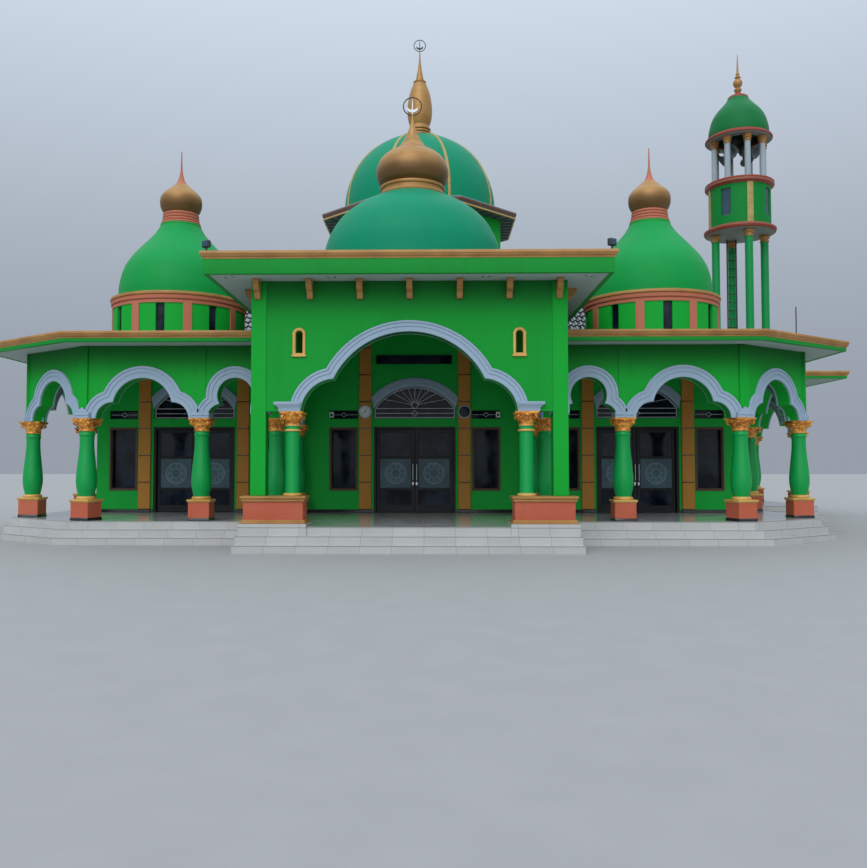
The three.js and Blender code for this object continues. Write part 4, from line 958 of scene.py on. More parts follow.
for name, mirror, arches, imposts in (("right_veranda_arch_bands", False, VERANDA_ARCHES,
        VERANDA_IMPOSTS), ("left_veranda_arch_bands", True, VERANDA_ARCHES, VERANDA_IMPOSTS),
        ("porch_arch_bands", False, PORCH_ARCHES, PORCH_IMPOSTS)):
    made = Piece(name, mirror)
    for half, width, place in arches:
        arch_band(made, veranda_arch(half), SPRING, width, face_shift(*place))
    for place, half in imposts:
        for shell in impost(face_shift(*place), half):
            made.add(shell, band_paint)
    made.make("white_plaster")

PORTICO_ARCH, PORTICO_Y = (2.635, 1.69, 1.45, 2.67, 0.72), -13.25
portico_band = Piece("portico_arch_band")
arch_band(portico_band, PORTICO_ARCH, 2.717, 0.195, (0, PORTICO_Y, 0.0))
for side in (-1, 1):
    foot_steps = [(2.563, 0.05, 2.717), (2.575, 0.055, 2.722), (2.58, 0.058, 2.79),
        (2.6, 0.066, 2.8), (2.615, 0.078, 2.828), (2.645, 0.088, 2.842), (2.664, 0.098, 2.856),
        (2.664, 0.098, 2.898), (2.655, 0.09, 2.906)]
    back = PORTICO_Y + WALL
    rings = [[(side * u, PORTICO_Y - v, z), (side * u, back + v, z), (side * 2.146, back + v, z),
        (side * 2.146, PORTICO_Y - v, z)] for u, v, z in foot_steps]
    portico_band.add(stack(rings), band_paint)
portico_band.make("white_plaster")

# %% [markdown]
# ## Roof edges
# The flat roofs are concrete slabs with a green edge, a gold cornice on top of it and a white
# underside. The edge is a profile carried round the plan with mitred corners; the slab inside it is
# an outline raised from the underside to the top.

# %% Flat roofs
GREEN_EDGE = [(-0.1, 0.0), (-0.004, 0.0), (0.0, 0.006), (0.0, 0.085), (-0.1, 0.085)]
GOLD_EDGE = [(-0.1, 0.078), (0.008, 0.078), (0.012, 0.09), (0.012, 0.102), (0.024, 0.11),
    (0.04, 0.13), (0.046, 0.15), (0.046, 0.162), (0.06, 0.172), (0.06, 0.214), (0.052, 0.225),
    (-0.1, 0.225)]


def flat_roof(node, line, extra=(), mirror=False):
    """Edge mouldings along a plan line, and a slab under and inside them: the plan is the line,
    moved in a little, closed by the extra corners where the roof meets a wall."""
    roof = Piece(f"{node}_finished", mirror)
    line = np.asarray(line, float)
    roof.add(round_plan(GREEN_EDGE, line, SLAB_UNDER), shade_paint)
    roof.add(round_plan(GOLD_EDGE, line, SLAB_UNDER), cornice_gold)
    inner = np.array([*(line - 0.06 * mitres(line)), *extra])
    rings = lambda z0, z1: stack([np.column_stack([inner, np.full(len(inner), z)])
        for z in (z0, z1)])
    roof.add(rings(SLAB_UNDER + 0.004, SLAB_UNDER + 0.05), ceiling_paint)
    roof.add(rings(SLAB_UNDER + 0.05, SLAB_TOP - 0.004), slab_top)
    roof.make("roof_slab", [node])


def cant_line(reach, side_x):
    """The veranda's canted corner, moved outward: its front end and its meeting with the side."""
    u = np.array([1.0, 0.0])
    v = np.array([1.79, 1.3]) / hypot(1.79, 1.3)
    x, y = np.array([7.11, -11.45]) + reach * np.array([(u + v)[1], -(u + v)[0]]) / (1 + u @ v)
    return [(x, y), (side_x, y + (side_x - x) * 1.3 / 1.79)]


for hand, mirror in HANDS:
    edge = [(3.13, -12.25), *cant_line(0.8, 9.91), (9.91, -6.25), (8.2, -6.25)]
    flat_roof(f"{hand}_veranda_roof", edge, [(8.2, -8.1), (3.13, -8.1)], mirror)
flat_roof("porch_roof", [(8.2, -4.4), (12.76, -4.4), (12.76, 4.4), (8.2, 4.4)])

# %% [markdown]
# The portico's canopy is thicker and runs back into the slope of the tile roof, so its slab has a
# slanting back: the lower outline stops where the slope is at that height, and the upper one goes
# further.

# %% Portico canopy
CANOPY_UNDER = 5.308
slope_y = lambda z: -8.4 + (z - 4.547) / 0.65
canopy_green = [(-0.1, 0.0), (-0.004, 0.0), (0.0, 0.006), (0.0, 0.3), (-0.1, 0.3)]
canopy_gold = [(-0.1, 0.29), (0.008, 0.29), (0.012, 0.304), (0.012, 0.318), (0.03, 0.33),
    (0.046, 0.356), (0.048, 0.372), (0.06, 0.38), (0.06, 0.424), (0.05, 0.437), (-0.1, 0.437)]
canopy = Piece("portico_canopy_finished")
half, front = 3.925, -13.95
for profile, back, finish in ((canopy_green, -6.95, shade_paint),
        (canopy_gold, -6.62, cornice_gold)):
    canopy.add(round_plan(profile, [(-half, back), (-half, front), (half, front), (half, back)],
        CANOPY_UNDER), finish)
for z0, z1, finish in ((5.312, 5.36, ceiling_paint), (5.36, 5.741, slab_top)):
    inset = half - 0.06
    canopy.add(stack([[(-inset, front + 0.06, z), (inset, front + 0.06, z), (inset, slope_y(z), z),
        (-inset, slope_y(z), z)] for z in (z0, z1)]), finish)
canopy.make("roof_slab", ["portico_canopy"])

# %% [markdown]
# ## Minaret
# Four round legs stand on the porch roof and carry a disc, a round lookout room with a window on
# each diagonal and a gilt strip on each axis, an open belfry of eight white columns, and a small
# onion dome. All of it is turned, apart from the rods of the ladder and of the horns' frame.

# %% Minaret legs and gallery
TOWER = (11.22, 0.0)
AXES = [k * pi / 2 for k in range(4)]


def round_the_tower(radius, angle):
    """The point (x + r cos t, y + r sin t) about the tower's axis."""
    return TOWER[0] + radius * cos(angle), TOWER[1] + radius * sin(angle)


def rod(start, end, radius, sides=10):
    """A round rod between two points."""
    start, end = np.asarray(start, float), np.asarray(end, float)
    run = (end - start) / np.linalg.norm(end - start)
    side = np.cross(run, (0, 0, 1.0) if abs(run[2]) < 0.9 else (1.0, 0, 0))
    side /= np.linalg.norm(side)
    return carry(circle(0, 0, radius, sides), np.array([start, end]), np.tile(side, (2, 1)),
        np.tile(np.cross(run, side), (2, 1)))


# Painted shade: a darker copy of the column enamel, for the minaret's legs.
tower_enamel_painted_shade = painted("tower_enamel_painted_shade", (0.002, 0.26, 0.06), 0.4, mottle=0.05, streak=0.03,
    grain=0.0, wave=0.0003, fade=GREEN_FADE, uneven=0.02, gloss=0.25)
legs = Piece("minaret_legs_finished")
for angle in AXES:
    at = round_the_tower(0.85, angle)
    legs.add(lathe([(0, SLAB_TOP), (0.175, SLAB_TOP), (0.175, 4.6), (0.15, 4.625), (0.132, 4.64),
        (0.132, 9.5), (0, 9.5)], at, 32), tower_enamel_painted_shade)
    legs.add(lathe([(0, 9.49), (0.15, 9.49), (0.158, 9.515), (0.15, 9.54), (0.136, 9.55),
        (0.136, 9.6), (0.165, 9.62), (0.185, 9.66), (0.178, 9.69), (0.15, 9.705), (0.15, 9.745),
        (0, 9.745)], at, 32), cornice_gold)


def turn_rings(made, *rings):
    """Turned forms about the tower's axis, each as a finish and its (radius, height) points."""
    for finish, *profile in rings:
        made.add(lathe(profile, TOWER, 128), finish)


turn_rings(legs, (tower_soffit_painted_shade, (0, 9.74), (1.1, 9.74), (1.12, 9.745), (1.12, 9.775), (0, 9.775)),
    (rust_paint, (0, 9.765), (1.15, 9.765), (1.175, 9.775), (1.19, 9.8), (1.175, 9.825),
    (0, 9.825)), (tower_ring_painted_shade, (0, 9.82), (1.17, 9.82), (1.195, 9.83), (1.205, 9.85), (1.2, 9.885),
    (1.18, 9.9), (0, 9.9)))
ladder_x, ladder_y = TOWER[0] - 0.1, 0.58
for side in (-1, 1):
    x = ladder_x + 0.16 * side
    legs.add(rod((x, ladder_y, SLAB_TOP), (x, ladder_y, 9.745), 0.024), dark_iron)
for z in np.arange(4.8, 9.6, 0.3):
    legs.add(rod((ladder_x - 0.16, ladder_y, z), (ladder_x + 0.16, ladder_y, z), 0.016, 8),
        dark_iron)
for z in (5.7, 7.2, 8.7):
    legs.add(rod((ladder_x, ladder_y, z), (TOWER[0], 0.85, z), 0.014, 8), dark_iron)
legs.make("green_plaster", ["minaret_legs"])

# %% Lookout room
room = Piece("minaret_room_finished")
diagonals = np.array(AXES) + pi / 4
room.add(pierced_drum(TOWER, 1.03, 0.91, [9.9, 10.25, 11.2, 11.335], diagonals, 0.18 / 1.03,
    (10.2, 11.25)), tower_paint_painted_shade)
for angle in diagonals:
    room.add(ring_sector(TOWER, 0.965, 0.98, 10.24, 11.21, angle, 0.185 / 0.97), tower_glass)
    for z0, z1 in ((10.25, 10.28), (11.17, 11.2), (10.72, 10.74)):
        room.add(ring_sector(TOWER, 0.95, 0.995, z0, z1, angle, 0.18 / 1.0), soffit_grey)
for angle in AXES:
    room.add(ring_sector(TOWER, 0.98, 1.055, 9.9, 11.33, angle, 0.098), rib_gold)
turn_rings(room, (rust_paint, (0.9, 9.9), (1.075, 9.9), (1.08, 9.925), (1.06, 9.955), (0.9, 9.955)),
    (rust_paint, (0, 11.32), (1.05, 11.32), (1.06, 11.345), (1.09, 11.355), (1.1, 11.38),
    (0, 11.38)), (tower_ring_painted_shade, (0, 11.375), (1.115, 11.375), (1.145, 11.39), (1.155, 11.42),
    (1.15, 11.455), (1.13, 11.47), (0, 11.47)), (rust_paint, (0, 11.465), (1.135, 11.465),
    (1.15, 11.475), (1.15, 11.51), (1.13, 11.53), (0, 11.53)))
room.make("green_plaster", ["minaret_room"])

# %% Belfry
belfry = Piece("minaret_belfry_finished")
for angle in [*AXES, *diagonals]:
    at = round_the_tower(0.85, angle)
    belfry.add(lathe([(0, 11.53), (0.135, 11.53), (0.135, 11.57), (0.115, 11.59), (0.102, 11.6),
        (0.098, 12.8), (0, 12.8)], at, 32), white_paint)
    belfry.add(lathe([(0, 12.79), (0.118, 12.79), (0.126, 12.81), (0.118, 12.83), (0.104, 12.84),
        (0.104, 12.87), (0.13, 12.885), (0.145, 12.91), (0.138, 12.93), (0.112, 12.945),
        (0.14, 12.975), (0.16, 13.00), (0.155, 13.035), (0, 13.045)], at, 32), cornice_gold)
turn_rings(belfry, (tower_soffit_painted_shade, (0.74, 13.04), (1.07, 13.04), (1.075, 13.06), (1.07, 13.075),
    (0.74, 13.075)), (rust_paint, (0.74, 13.07), (1.09, 13.07), (1.12, 13.08), (1.125, 13.11),
    (1.11, 13.145), (1.08, 13.16), (0.74, 13.16)))
horn_line = smooth([(0.05, 0.0), (0.065, 0.1), (0.1, 0.2), (0.16, 0.29), (0.25, 0.345)], 18)
horn = lathe([(0, -0.15), (0.09, -0.15), (0.1, -0.13), (0.1, -0.02), (0.07, 0.0), *horn_line,
    (0.25, 0.355), (0.235, 0.352), (0.15, 0.3), (0.08, 0.2), (0, 0.17)], sides=40)
for k, angle in enumerate(diagonals):
    tilt = radians(115)
    p = np.asarray(horn[0]).reshape(-1, 3)
    turned = np.stack([p[:, 2] * sin(tilt) + p[:, 0] * cos(tilt), p[:, 1],
        p[:, 2] * cos(tilt) - p[:, 0] * sin(tilt)], 1)
    x, y = round_the_tower(0.32, angle)
    belfry.add(moved((turned, horn[1]), x, y, 12.7, angle), horn_grey)
    belfry.add(moved(block((-0.1, -0.1, 12.72), (0.1, 0.1, 13.06), 0.02), x, y, 0, angle),
        dark_iron)
    belfry.add(rod((*round_the_tower(0.8, angle), 13.1), (*TOWER, 13.1), 0.018), dark_iron)
belfry.make("white_plaster", ["minaret_belfry"])

# %% Onion dome of the minaret
onion = smooth([(1.00, 13.16), (1.012, 13.3), (0.985, 13.52), (0.9, 13.83), (0.76, 14.08),
    (0.56, 14.31), (0.42, 14.47), (0.345, 14.6)], 56)
small_dome = Piece("minaret_dome_finished")
turn_rings(small_dome, (tower_dome_painted_shade, *shell_of(onion, 0.08)), (rust_paint, (0.96, 13.16),
    (1.03, 13.16), (1.04, 13.18), (1.025, 13.21), (0.96, 13.215)))
cap_line = smooth([(0.352, 14.585), (0.335, 14.65), (0.24, 14.71), (0.15, 14.76), (0.09, 14.82)],
    14)
small_dome.add(lathe([(0, 14.56), (0.3, 14.56), (0.352, 14.575), *cap_line, (0, 14.83)], TOWER, 64),
    rust_paint)
turned_tip = [(0.075, 14.82), (0.085, 14.84), (0.125, 14.885), (0.13, 14.925), (0.112, 14.955),
    (0.075, 14.975), (0.068, 14.995), (0.09, 15.02), (0.135, 15.07), (0.157, 15.135),
    (0.157, 15.185), (0.135, 15.25), (0.09, 15.295), (0.062, 15.315), (0.062, 15.335),
    (0.098, 15.355), (0.103, 15.375), (0.085, 15.4), (0.055, 15.42), (0.05, 15.45), (0.068, 15.475),
    (0.064, 15.5), (0.042, 15.52), (0.036, 15.62), (0.024, 15.85), (0.01, 16.19)]
small_dome.add(lathe([(0, 14.81), *turned_tip, (0, 16.2)], TOWER, 48), bulb_bronze)
small_dome.make("green_dome", ["minaret_dome"])

# %% [markdown]
# ## Portico pedestals, brackets and slit windows
# The portico stands on two long salmon pedestals between gold mouldings, and beside each wall strip
# a slim round column carries the arch. Under the canopy a row of brackets takes the weight of the
# projecting slab. A bracket is its side outline, an S that swells at the top, repeated on both
# cheeks.

# %% Portico pedestals and columns
def pedestal_stack(profile, ease=0.01):
    """An oblong form: at each (reach, height) the plan grows by that reach, but not behind."""
    return stack([eased_oblong(2.05 - grow, 3.22 + grow, -13.5 - grow, -12.95, z, ease)
        for grow, z in profile])


for hand, mirror in HANDS:
    pier = Piece(f"{hand}_portico_pedestal", mirror)
    pier.add(pedestal_stack([(-0.004, 0.59), (0.0, 0.6), (0.0, 0.97), (-0.004, 0.975)]),
        pedestal_paint)
    foot_mould = [(0.02, 0.524), (0.052, 0.524), (0.055, 0.53), (0.055, 0.548), (0.044, 0.556),
        (0.036, 0.56), (0.036, 0.585), (0.028, 0.594), (0.002, 0.6)]
    head_mould = [(0.002, 0.944), (0.026, 0.95), (0.03, 0.956), (0.03, 0.98), (0.024, 0.988),
        (0.028, 0.998), (0.05, 1.008), (0.055, 1.014), (0.055, 1.048), (0.05, 1.054)]
    for mould in (foot_mould, head_mould):
        pier.add(pedestal_stack(mould), cornice_gold)
    at = (2.32, -13.1)
    pier.add(lathe([(0, 1.05), (0.178, 1.05), (0.19, 1.062), (0.188, 1.085), (0.172, 1.1),
        (0.15, 1.108), (0, 1.11)], at, 48), pale_gold)
    pier.add(lathe([(0, 1.1), (0.148, 1.104), (0.142, 1.14), (0.142, 2.455), (0, 2.455)], at, 48),
        column_paint)
    pier.add(lathe([(0, 2.325), (0.15, 2.325), (0.166, 2.336), (0.168, 2.35), (0.16, 2.364),
        (0.144, 2.372), (0, 2.372)], at, 48), pale_gold)
    pier.add(lathe([(0, 2.43), (0.146, 2.43), (0.156, 2.442), (0.15, 2.458), (0, 2.46)], at, 48),
        pale_gold)
    capital(pier, lambda shell: moved(shell, *at), 2.455, 2.717, 0.146, 0.238)
    pier.make("salmon_plaster", [f"{hand}_portico_pier"])

# %% Brackets and corner strips of the portico
def console(reach, drop, width):
    """A bracket against the wall plane y = 0, with its top at z = 0: the side outline is two arcs
    and a step, written as (out from the wall, height), and eased towards both cheeks."""
    out = np.vstack([[(0.02, 0.0), (-reach, 0.0), (-reach - 0.006, -0.02), (-reach - 0.006, -0.055),
        (-reach, -0.07)], smooth([(-reach * 0.92, -0.085), (-reach * 0.9, -0.13),
        (-reach * 0.7, -drop * 0.56), (-reach * 0.42, -drop * 0.66), (-reach * 0.34, -drop * 0.82),
        (-reach * 0.3, -drop * 0.95)], 18), [(-reach * 0.24, -drop), (0.02, -drop)]])
    middle = out.mean(0)
    rings = [np.column_stack([np.full(len(out), x), *(middle + (out - middle) * k).T])
        for x, k in ((-width / 2, 0.95), (-width / 2 + 0.008, 1.0), (width / 2 - 0.008, 1.0),
        (width / 2, 0.95))]
    return stack(rings)


portico_trim = Piece("portico_wall_trim")
for x in (-3.0, -1.96, -0.97, 0.01, 1.0, 1.98, 2.96):
    portico_trim.add(moved(console(0.3, 0.37, 0.115), x, PORTICO_Y, 5.312), cornice_gold)
for side in (-1, 1):
    for y in (-12.45, -11.15, -9.85):
        portico_trim.add(moved(console(0.3, 0.37, 0.115), side * 3.13, y, 5.312, side * pi / 2),
            cornice_gold)
    portico_trim.add(block((side * 2.98 - 0.15, -13.266, 1.056),
        (side * 2.98 + 0.15, -13.24, 5.306), 0.006), portico_strip_paint_painted_shade)
    slit = np.vstack([[(0.075, 3.87)], arc(0, 4.25, 0.075, 0, pi, 13), [(-0.075, 3.87)]])
    frame_section = [(-0.006, 0.012), (-0.006, -0.05), (0.0, -0.05), (0.0, -0.002), (0.052, -0.002),
        (0.052, 0.022), (0.04, 0.032), (0.012, 0.032)]
    portico_trim.add(on_wall(frame_section, slit, (side * 2.18, PORTICO_Y, 0.0), closed=True),
        pale_gold)
    portico_trim.add(block((side * 2.18 - 0.142, -13.29, 3.8), (side * 2.18 + 0.142, -13.24, 3.845),
        0.006), pale_gold)
    for ear in (-1, 1):
        tab = circle(ear * 0.105, 4.265, 0.026, 12)
        portico_trim.add(moved(stack([[(x, y, z) for x, z in tab] for y in (-13.278, -13.245)]),
            side * 2.18), pale_gold)
portico_trim.make("bronze_paint")

# %% [markdown]
# ## The front of the prayer hall
# Beside every doorway stands a pair of ochre pilasters with a dark joint every 69 cm. Over each
# door is a fanlight: a low segment with a fan of thin white bars that spring from a small hub, and
# three rails with a lozenge below. The same set is built round x = 0 and set at each of the three
# doors.

# %% Pilasters, skirting and lintel bands
def bar(start, end, place, width=0.022, depth=0.02, proud=0.0):
    """A flat bar between two points drawn on a wall, with its corners eased a little."""
    w, e = width / 2, min(width, depth) / 5
    section = [(-w, proud + e), (-w, proud + depth - e), (-w + e, proud + depth),
        (w - e, proud + depth), (w, proud + depth - e), (w, proud + e), (w - e, proud),
        (-w + e, proud)]
    return on_wall(section, [start, end], place)


def frame_bars(corners, place, width, depth, proud=0.0):
    """A closed frame of even width inside a run of corners (taken anticlockwise)."""
    section = [(-width, proud), (-width, proud + depth - 0.004), (-width + 0.004, proud + depth),
        (-0.004, proud + depth), (0.0, proud + depth - 0.004), (0.0, proud)]
    return on_wall(section, corners, place, closed=True)


def oblong(u0, u1, z0, z1):
    """The four corners of an upright oblong, anticlockwise from the lower left."""
    return [(u0, z0), (u1, z0), (u1, z1), (u0, z1)]


ochre = painted("pilaster_ochre", (0.5, 0.215, 0.03), 0.5, mottle=0.1, streak=0.04,
    fade=(0.6, 0.35, 0.1), grain=0.0006, gloss=0.25)
DOORS = {"left": -5.68, "main": 0.0, "right": 5.68}
FRONT = -8.1
pilasters = Piece("hall_front_pilasters")
for name, x in DOORS.items():
    top = 5.306 if name == "main" else 4.26
    for side in (-1, 1):
        centre_x = x + side * 1.27
        joints = [0.545, *np.arange(0.545 + 0.69, top, 0.69), top]
        for z0, z1 in zip(joints[:-1], joints[1:]):
            pilasters.add(block((centre_x - 0.155, FRONT - 0.055, z0 + 0.009),
                (centre_x + 0.155, FRONT + 0.01, z1 - 0.009), 0.01), ochre)
        pilasters.add(block((centre_x - 0.145, FRONT - 0.04, 0.47),
            (centre_x + 0.145, FRONT + 0.01, top), 0.004), skirting)
        pilasters.add(block((centre_x - 0.16, FRONT - 0.062, 0.466),
            (centre_x + 0.16, FRONT + 0.01, 0.548), 0.008), skirting)
HALL = 8.2
edges = [-HALL, *[x + s * 1.05 for x in DOORS.values() for s in (-1, 1)], HALL]
for x0, x1 in zip(edges[::2], edges[1::2]):
    pilasters.add(block((x0 + 0.005, FRONT - 0.016, 0.466), (x1 - 0.005, FRONT + 0.01, 0.545),
        0.005), skirting)
pilasters.make("bronze_paint")

# %% Fanlights
FAN = {"radius": 1.27, "middle": 2.44, "rail": 3.13}


def segment_band(x, inner, outer, limit, section):
    """A band over a round-headed opening, cut off upright at both ends: at each (share across,
    proud) the arc of that radius runs between the angles where it reaches its own limit in x."""
    share, proud = np.asarray(section, float).T
    radius = inner + share * (outer - inner)
    edge = limit[0] + np.clip(share, 0, 1) * (limit[1] - limit[0])
    start = np.arccos(edge / radius)
    t = start + np.linspace(0, 1, 49)[:, None] * (pi - 2 * start)
    points = np.stack([x + radius * np.cos(t), FRONT - proud + 0 * t,
        FAN["middle"] + radius * np.sin(t)], -1)
    return capped(points)


fanlights = Piece("hall_front_fanlights")
band_section = [(0.0, -0.06), (0.0, 0.03), (0.06, 0.04), (0.4, 0.04), (0.44, 0.028), (0.54, 0.028),
    (0.58, 0.04), (0.94, 0.04), (1.0, 0.03), (1.0, -0.002), (0.1, -0.002), (0.1, -0.06)]
for name, x in DOORS.items():
    place = (x, FRONT + 0.07, 0.0)
    fanlights.add(segment_band(x, FAN["radius"] - 0.018, 1.48, (1.047, 1.112), band_section),
        band_paint)
    edge_line = arc(0, FAN["middle"], 1.235, acos(1.03 / 1.235), pi - acos(1.03 / 1.235), 41)
    outline = np.vstack([[(-1.03, 2.885), (1.03, 2.885)], edge_line])
    fanlights.add(on_wall([(-0.026, 0.0), (-0.026, 0.026), (0.0, 0.026), (0.0, 0.0)], outline,
        place, closed=True), grille_white)
    for z in (3.005, FAN["rail"]):
        fanlights.add(bar((-1.02, z), (1.02, z), place, 0.02, 0.02), grille_white)
    lozenge = [(0.0, 3.005 - 0.085), (0.105, 3.005), (0.0, 3.005 + 0.085), (-0.105, 3.005)]
    fanlights.add(frame_bars(lozenge, place, 0.018, 0.024), grille_white)
    hub = (0.0, FAN["rail"] + 0.085)
    fanlights.add(on_wall([(-0.018, 0.0), (-0.018, 0.024), (0.0, 0.024), (0.0, 0.0)],
        circle(*hub, 0.088, 24), place, closed=True), grille_white)
    for degrees in (11, 29, 47, 68, 90, 112, 133, 151, 169):
        a = radians(degrees)
        c, s = cos(a), sin(a)
        lift = hub[1] - FAN["middle"]
        far = -lift * s + sqrt((lift * s) ** 2 - lift ** 2 + 1.225 ** 2)
        far = min(far, 1.02 / abs(c)) if abs(c) > 0.05 else far
        fanlights.add(bar((0.085 * c, hub[1] + 0.085 * s), (far * c, hub[1] + far * s), place,
            0.016, 0.016), grille_white)
fanlights.make("white_plaster")

# %% Windows and transoms
def window_set(made, u, place, transom=True):
    """A brown window frame with a beaded inner edge, and over it a low transom with a rail and a
    lozenge, drawn about u on a wall. The opening is 0.73 m wide."""
    made.add(frame_bars(oblong(u - 0.365, u + 0.365, 1.02, 2.645), place, 0.05, 0.085, -0.07),
        brown_frame)
    made.add(frame_bars(oblong(u - 0.316, u + 0.316, 1.069, 2.596), place, 0.02, 0.05, -0.07),
        brown_frame)
    if transom:
        made.add(frame_bars(oblong(u - 0.365, u + 0.365, 2.86, 3.08), place, 0.02, 0.05, -0.07),
            black_metal)
        for a, b in ((-0.34, -0.085), (0.085, 0.34)):
            made.add(bar((u + a, 2.97), (u + b, 2.97), place, 0.014, 0.014, -0.05), grille_white)
        lozenge = [(u, 2.905), (u + 0.085, 2.97), (u, 3.035), (u - 0.085, 2.97)]
        made.add(frame_bars(lozenge, place, 0.014, 0.016, -0.05), grille_white)


front_windows = Piece("hall_front_windows")
for x in DOORS.values():
    for side in (-1, 1):
        window_set(front_windows, x + side * 1.825, (0.0, FRONT, 0.0))
front_windows.make("black_frame")
WINDOW_ROW = (-6.5, -3.9, -1.3, 1.3, 3.9, 6.5)
for name, place in (("right_side_windows", (HALL, 0.0, pi / 2)),
        ("left_side_windows", (-HALL, 0.0, -pi / 2)), ("back_windows", (0.0, 8.1, pi))):
    made = Piece(name)
    for u in WINDOW_ROW:
        window_set(made, u, place)
    for u in (-7.75, -5.2, -2.6, 0.0, 2.6, 5.2, 7.75):
        made.add(moved(block((-0.155, -0.045, 0.56), (0.155, 0.01,
            4.26 if "right" in name else 4.4), 0.01), place[0] + u * cos(place[2]),
            place[1] + u * sin(place[2]), 0, place[2]), ochre)
    half = 8.19 if "back" in name else 7.94
    made.add(moved(block((-half, -0.016, 0.466), (half, 0.01, 0.545), 0.005), place[0], place[1], 0,
        place[2]), skirting)
    made.make("black_frame")

# %% [markdown]
# ## Doors
# Each doorway has two leaves of black aluminium and dark glass that swing into the hall. A leaf is
# a frame of stiles and rails round three fields: clear glass above and below, and a frosted field
# between them with a plain ring ornament. It rides on its own body; the hinge halves themselves
# belong to the imported leaf and frame.

# %% Door leaves
LEAF = {"foot": 0.475, "head": 2.595, "front": -7.99, "back": -7.95}


def door_leaf(body, centre_x, side):
    """One leaf between its hinge stile at |u| = 0.985 and its meeting stile at |u| = 0.004."""
    leaf = Piece(f"{body}_leaf_finished")
    u0, u1 = sorted((side * 0.004, side * 0.985))
    z0, z1 = LEAF["foot"], LEAF["head"]
    place = (centre_x, LEAF["front"], 0.0)
    section = [(-0.085, -0.04), (-0.085, -0.004), (-0.081, 0.0), (-0.004, 0.0), (0.0, -0.004),
        (0.0, -0.036), (-0.004, -0.04)]
    leaf.add(on_wall(section, oblong(u0, u1, z0, z1), place, closed=True), black_metal)
    a, b = u0 + 0.08, u1 - 0.08
    for z, tall in ((1.06, 0.05), (1.87, 0.05), (0.6, 0.1)):
        leaf.add(block((centre_x + a, LEAF["front"] + 0.002, z - tall / 2),
            (centre_x + b, LEAF["back"] - 0.002, z + tall / 2), 0.005), black_metal)
    for low, high, glass in ((0.63, 1.04, dark_glass), (1.08, 1.85, frosted),
            (1.89, 2.52, dark_glass)):
        leaf.add(block((centre_x + a - 0.005, LEAF["front"] + 0.014, low - 0.01),
            (centre_x + b + 0.005, LEAF["front"] + 0.022, high + 0.01), 0.001), glass)
        bead = frame_bars(oblong(a, b, low, high), (centre_x, LEAF["front"] + 0.014, 0.0), 0.012,
            0.008)
        leaf.add(bead, black_metal)
    middle = (a + b) / 2
    on_glass = (centre_x, LEAF["front"] + 0.0145, 0.0)
    for radius, width in ((0.27, 0.012), (0.225, 0.006), (0.12, 0.008)):
        ring = circle(middle, 1.465, radius, 48)
        leaf.add(on_wall([(-width, 0.0), (-width, 0.003), (0.0, 0.003), (0.0, 0.0)], ring, on_glass,
            closed=True), etched)
    for k in range(8):
        c, s = cos(k * pi / 4), sin(k * pi / 4)
        petal = circle(middle + 0.172 * c, 1.465 + 0.172 * s, 0.036, 16)
        leaf.add(on_wall([(-0.006, 0.0), (-0.006, 0.003), (0.0, 0.003), (0.0, 0.0)], petal,
            on_glass, closed=True), etched)
    grip = centre_x + side * 0.048
    for out, way in ((LEAF["front"], -1), (LEAF["back"], 1)):
        leaf.add(rod((grip, out + way * 0.045, 1.28), (grip, out + way * 0.045, 1.7), 0.0125, 16),
            steel)
        for z in (1.34, 1.64):
            leaf.add(rod((grip, out - way * 0.005, z), (grip, out + way * 0.045, z), 0.008, 12),
                steel)
    leaf.add(block((grip - 0.022, LEAF["front"] - 0.006, 1.16),
        (grip + 0.022, LEAF["front"] + 0.002, 1.24), 0.002), steel)
    for z in (LEAF["foot"] + 0.25, LEAF["foot"] + 1.85):
        x = centre_x + side * 0.9875
        leaf.add(lathe([(0, z + 0.05), (0.008, z + 0.05), (0.008, z + 0.0997), (0, z + 0.0997)],
            (x, -7.94), 20), steel)
        p, q = sorted((x, x - side * 0.0325))
        leaf.add(block((p, -7.952, z + 0.05), (q, -7.946, z + 0.0997), 0.001), steel)
    leaf.make("door_leaf", [f"{body}_leaf"], body)


for name, x in DOORS.items():
    for label, side in (("left", -1), ("right", 1)):
        door_leaf(f"{name}_door_{label}", x, side)

# %% [markdown]
# ## Small fittings
# A sign board without words, a wall clock and a dark round plate on the middle pilasters, small
# loudspeaker boxes beside the transoms, downlights in the canopy, flood lamps on its corners and a
# lamp at the foot of the front dome. They are small, but a wall without them looks unfinished.

# %% Fittings
fittings = Piece("wall_fittings")
fittings.add(block((-0.99, FRONT - 0.06, 4.27), (0.95, FRONT + 0.005, 4.49), 0.006), black_metal)
fittings.add(block((-0.965, FRONT - 0.064, 4.292), (0.925, FRONT - 0.055, 4.468), 0.002),
    dark_glass)


def on_the_wall(profile, x, z, front, sides=40):
    """A turned form with its axis level: (radius, distance proud of the wall) about (x, z)."""
    r, d = np.asarray(profile, float).T
    t = np.arange(sides) * 2 * pi / sides
    points = np.stack([x + r[:, None] * np.cos(t), front - d[:, None] + 0 * t,
        z + r[:, None] * np.sin(t)], -1)
    return points, [grid_quads(len(r), sides, wrap_rows=not (r[0] == 0 and r[-1] == 0))]


